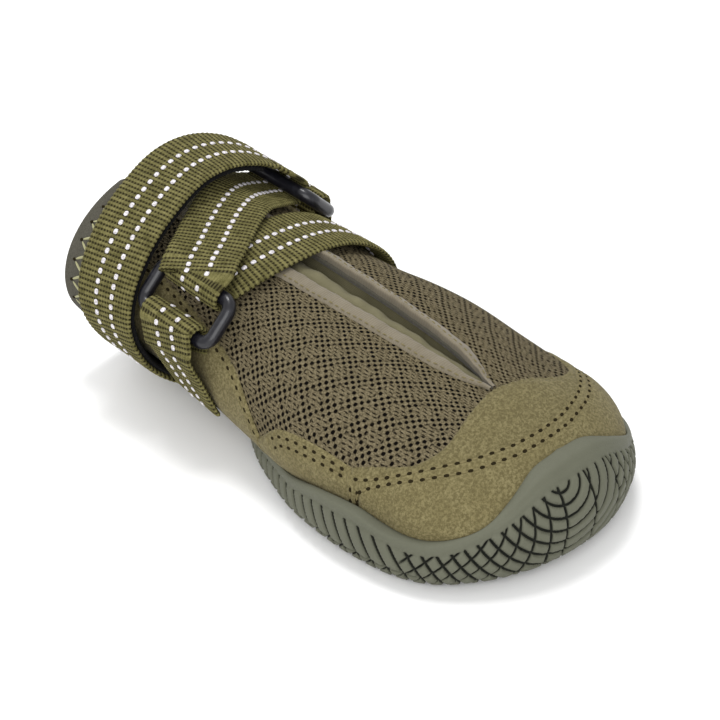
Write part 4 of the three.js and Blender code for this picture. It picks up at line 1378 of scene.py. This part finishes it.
def dashes(name, bands, rows=(-3.1, 2.3)):
    """Pale woven dashes, one for every two ribs, on both faces of the webbings."""
    at, along, out = [], [], []
    for band in bands:
        places = np.arange(RIB_PITCH * 2, band["s"][-1] - 1.5, RIB_PITCH * 2)
        base = {k: resample(band[k], places, band["s"]) for k in ("at", "along", "across", "out")}
        for row in rows:
            for face in (1, -1):
                spot = base["at"] + base["across"] * row + base["out"] * face * (band["thick"] / 2 - 0.02)
                at.append(spot)
                along.append(base["along"])
                out.append(base["out"] * face)
    template, faces = bead(4, 8, power=0.75)
    points, all_faces = copies(
        template, faces, np.concatenate(at), unit(np.concatenate(along)), unit(np.concatenate(out)), (0.72, 0.66, 0.24)
    )
    make_piece(name, points, all_faces, DASHES)


def build_straps():
    lower = over_skin(
        [(-26, 62, NEAR_SKIN), (10, 60.5, NEAR_SKIN), (50, 60.5, NEAR_SKIN), (90, 60.5, NEAR_SKIN)]
        + [(110, 61.6, NEAR_SKIN), (124, 63, NEAR_SKIN), (134, 64.5, NEAR_SKIN + 0.2)]
    )
    middle = over_skin(
        [(130, 67.0, 6.2), (120, 69.8, 4.6), (107, 73.4, OVER_ONE + 0.2), (80, 79, OVER_ONE)]
        + [(56, 83.3, NEAR_SKIN + 0.3), (46, 84.6, NEAR_SKIN + 0.2)]
    )
    upper = over_skin(
        [(51, 87.2, 8.6), (62, 89, 9.6), (78, 90.5, 10.2), (95, 91, 9.8), (120, 90, 8.2), (145, 88.5, 7.4)]
        + [(172, 87, 6.2), (190, 85, 4.0), (207, 83, 2.6), (228, 82, 2.4), (262, 82, 2.6)]
        + [(278, 82.5, OVER_ONE + 0.4), (318, 84, OVER_ONE + 0.4)]
    )
    strap = np.concatenate(
        [lower, round_bar(LOOP_RIGHT, -1, 115.0), middle, round_bar(LOOP_LEFT, 1), upper]
    )
    bands = [
        ribbon(
            "strap",
            strap,
            WEBBING_WIDTH,
            WEBBING_THICK,
            WEBBING,
            hides=["strap_lower", "strap_middle", "strap_upper"],
        )
    ]
    tab_right = np.concatenate(
        [
            over_skin([(171, 64.2, NEAR_SKIN), (167, 64.6, NEAR_SKIN)]),
            round_bar(LOOP_RIGHT, 1, 115.0),
            over_skin([(170, 64.0, 5.8), (179, 63.0, 2.9), (189, 62.0, NEAR_SKIN), (200, 61, NEAR_SKIN)]),
        ]
    )
    tab_left = np.concatenate(
        [
            over_skin([(8, 85.6, NEAR_SKIN), (14, 85.4, NEAR_SKIN)]),
            round_bar(LOOP_LEFT, -1, 115.0),
            over_skin([(10, 85.8, 5.4), (5, 86, 3.8), (0, 86, OVER_ONE)]),
        ]
    )
    bands.append(ribbon("loop_tab_right", tab_right, 18.0, 1.5, WEBBING, hides=["anchor_right"]))
    bands.append(ribbon("loop_tab_left", tab_left, 18.0, 1.5, WEBBING, hides=["anchor_left"]))
    dashes("webbing_dashes", bands)
    # Black pile tape under the last part of the strap, and the hook patch it closes on.
    band = bands[0]
    first = band["s"][-1] - arc_lengths(upper[:, :3])[-1] + 4
    keep = band["s"] > first
    under = band["at"][keep] - band["out"][keep] * 1.35
    if np.linalg.norm(under[5] - [0, 90, 25]) > np.linalg.norm(band["at"][keep][5] - [0, 90, 25]):
        under = band["at"][keep] + band["out"][keep] * 1.35
    cuts = np.concatenate([under, band["across"][keep]], axis=1)
    ribbon("strap_pile", cuts, 18.6, 1.2, FUZZ, ribbed=False, fuzz=0.3, step=0.5)
    patch = over_skin([(5, 86, NEAR_SKIN), (-35, 86, NEAR_SKIN), (-82, 85, NEAR_SKIN)])
    ribbon("hook_tape", patch, 20.0, 1.5, FUZZ, hides=["hook_patch"], ribbed=False, fuzz=0.4, step=0.5)


def build_loops():
    half_long = (LOOP_LENGTH - LOOP_BAR) / 2
    half_deep = (LOOP_DEPTH - LOOP_BAR) / 2
    corner = 3.0
    path = []
    for x, y, turn in ((1, 1, 0), (-1, 1, 90), (-1, -1, 180), (1, -1, 270)):
        for k in range(13):
            angle = math.radians(turn + 90 * k / 12)
            out = (math.cos(angle), math.sin(angle))
            path.append(
                (x * (half_long - corner) + corner * out[0], y * (half_deep - corner) + corner * out[1], *out)
            )
    path = np.array(path)
    sides = 20
    angle = np.arange(sides) * 2 * np.pi / sides
    for name, loop in (("loop_right", LOOP_RIGHT), ("loop_left", LOOP_LEFT)):
        radius = LOOP_BAR / 2
        a = path[:, None, 0] + path[:, None, 2] * radius * np.cos(angle)
        b = path[:, None, 1] + path[:, None, 3] * radius * np.cos(angle)
        c = np.broadcast_to(radius * np.sin(angle), a.shape)
        points = loop["at"] + a[..., None] * loop["long"] + b[..., None] * loop["around"] + c[..., None] * loop["out"]
        rings = len(path)
        i, j = np.meshgrid(np.arange(rings), np.arange(sides), indexing="ij")
        i2 = (i + 1) % rings
        j2 = (j + 1) % sides
        faces = np.stack([i * sides + j, i2 * sides + j, i2 * sides + j2, i * sides + j2], -1).reshape(-1, 4)
        make_piece(f"plastic_{name}", points.reshape(-1, 3), faces, PLASTIC, hides=[name])


# ---- scene ---------------------------------------------------------------------------------------------------------


def build_stage():
    size = 3.0
    mesh = bpy.data.meshes.new("floor")
    mesh.from_pydata([(-size, -size, 0), (size, -size, 0), (size, size, 0), (-size, size, 0)], [], [(0, 1, 2, 3)])
    mesh.materials.append(floor_paint())
    floor = bpy.data.objects.new("floor", mesh)
    bpy.context.scene.collection.objects.link(floor)
    world = bpy.data.worlds.new("studio")
    world.use_nodes = True
    world.node_tree.nodes["Background"].inputs[0].default_value = (1.0, 1.0, 1.0, 1.0)
    world.node_tree.nodes["Background"].inputs[1].default_value = 0.85
    bpy.context.scene.world = world
    target = Vector((0, 0.035, 0.02))
    for name, place, size, power in (
        ("key", (0.12, 0.20, 1.1), 0.35, 5.5),
        ("fill", (-0.8, -0.6, 0.6), 0.9, 8.5),
        ("back", (0.2, 0.9, 0.6), 0.7, 3.0),
    ):
        lamp = bpy.data.lights.new(name, "AREA")
        lamp.size = size
        lamp.energy = power
        light = bpy.data.objects.new(name, lamp)
        light.location = place
        light.rotation_euler = (target - Vector(place)).to_track_quat("-Z", "Y").to_euler()
        bpy.context.scene.collection.objects.link(light)


def build_camera():
    lens = bpy.data.cameras.new("camera")
    lens.lens = 128
    lens.sensor_width = 36
    lens.clip_end = 20
    camera = bpy.data.objects.new("camera", lens)
    place = Vector((-0.352, -0.337, 0.355))
    target = Vector((-0.001, 0.033, 0.0235))
    facing = (target - place).to_track_quat("-Z", "Y").to_matrix()
    roll = Matrix.Rotation(math.radians(-2.6), 3, "Z")
    camera.matrix_world = Matrix.Translation(place) @ (facing @ roll).to_4x4()
    bpy.context.scene.collection.objects.link(camera)
    bpy.context.scene.camera = camera


bpy.context.scene.view_settings.view_transform = "Standard"
build_upper()
build_panels()
build_slit()
build_collar()
build_sole()
build_insole()
build_straps()
build_loops()
build_stage()
build_camera()
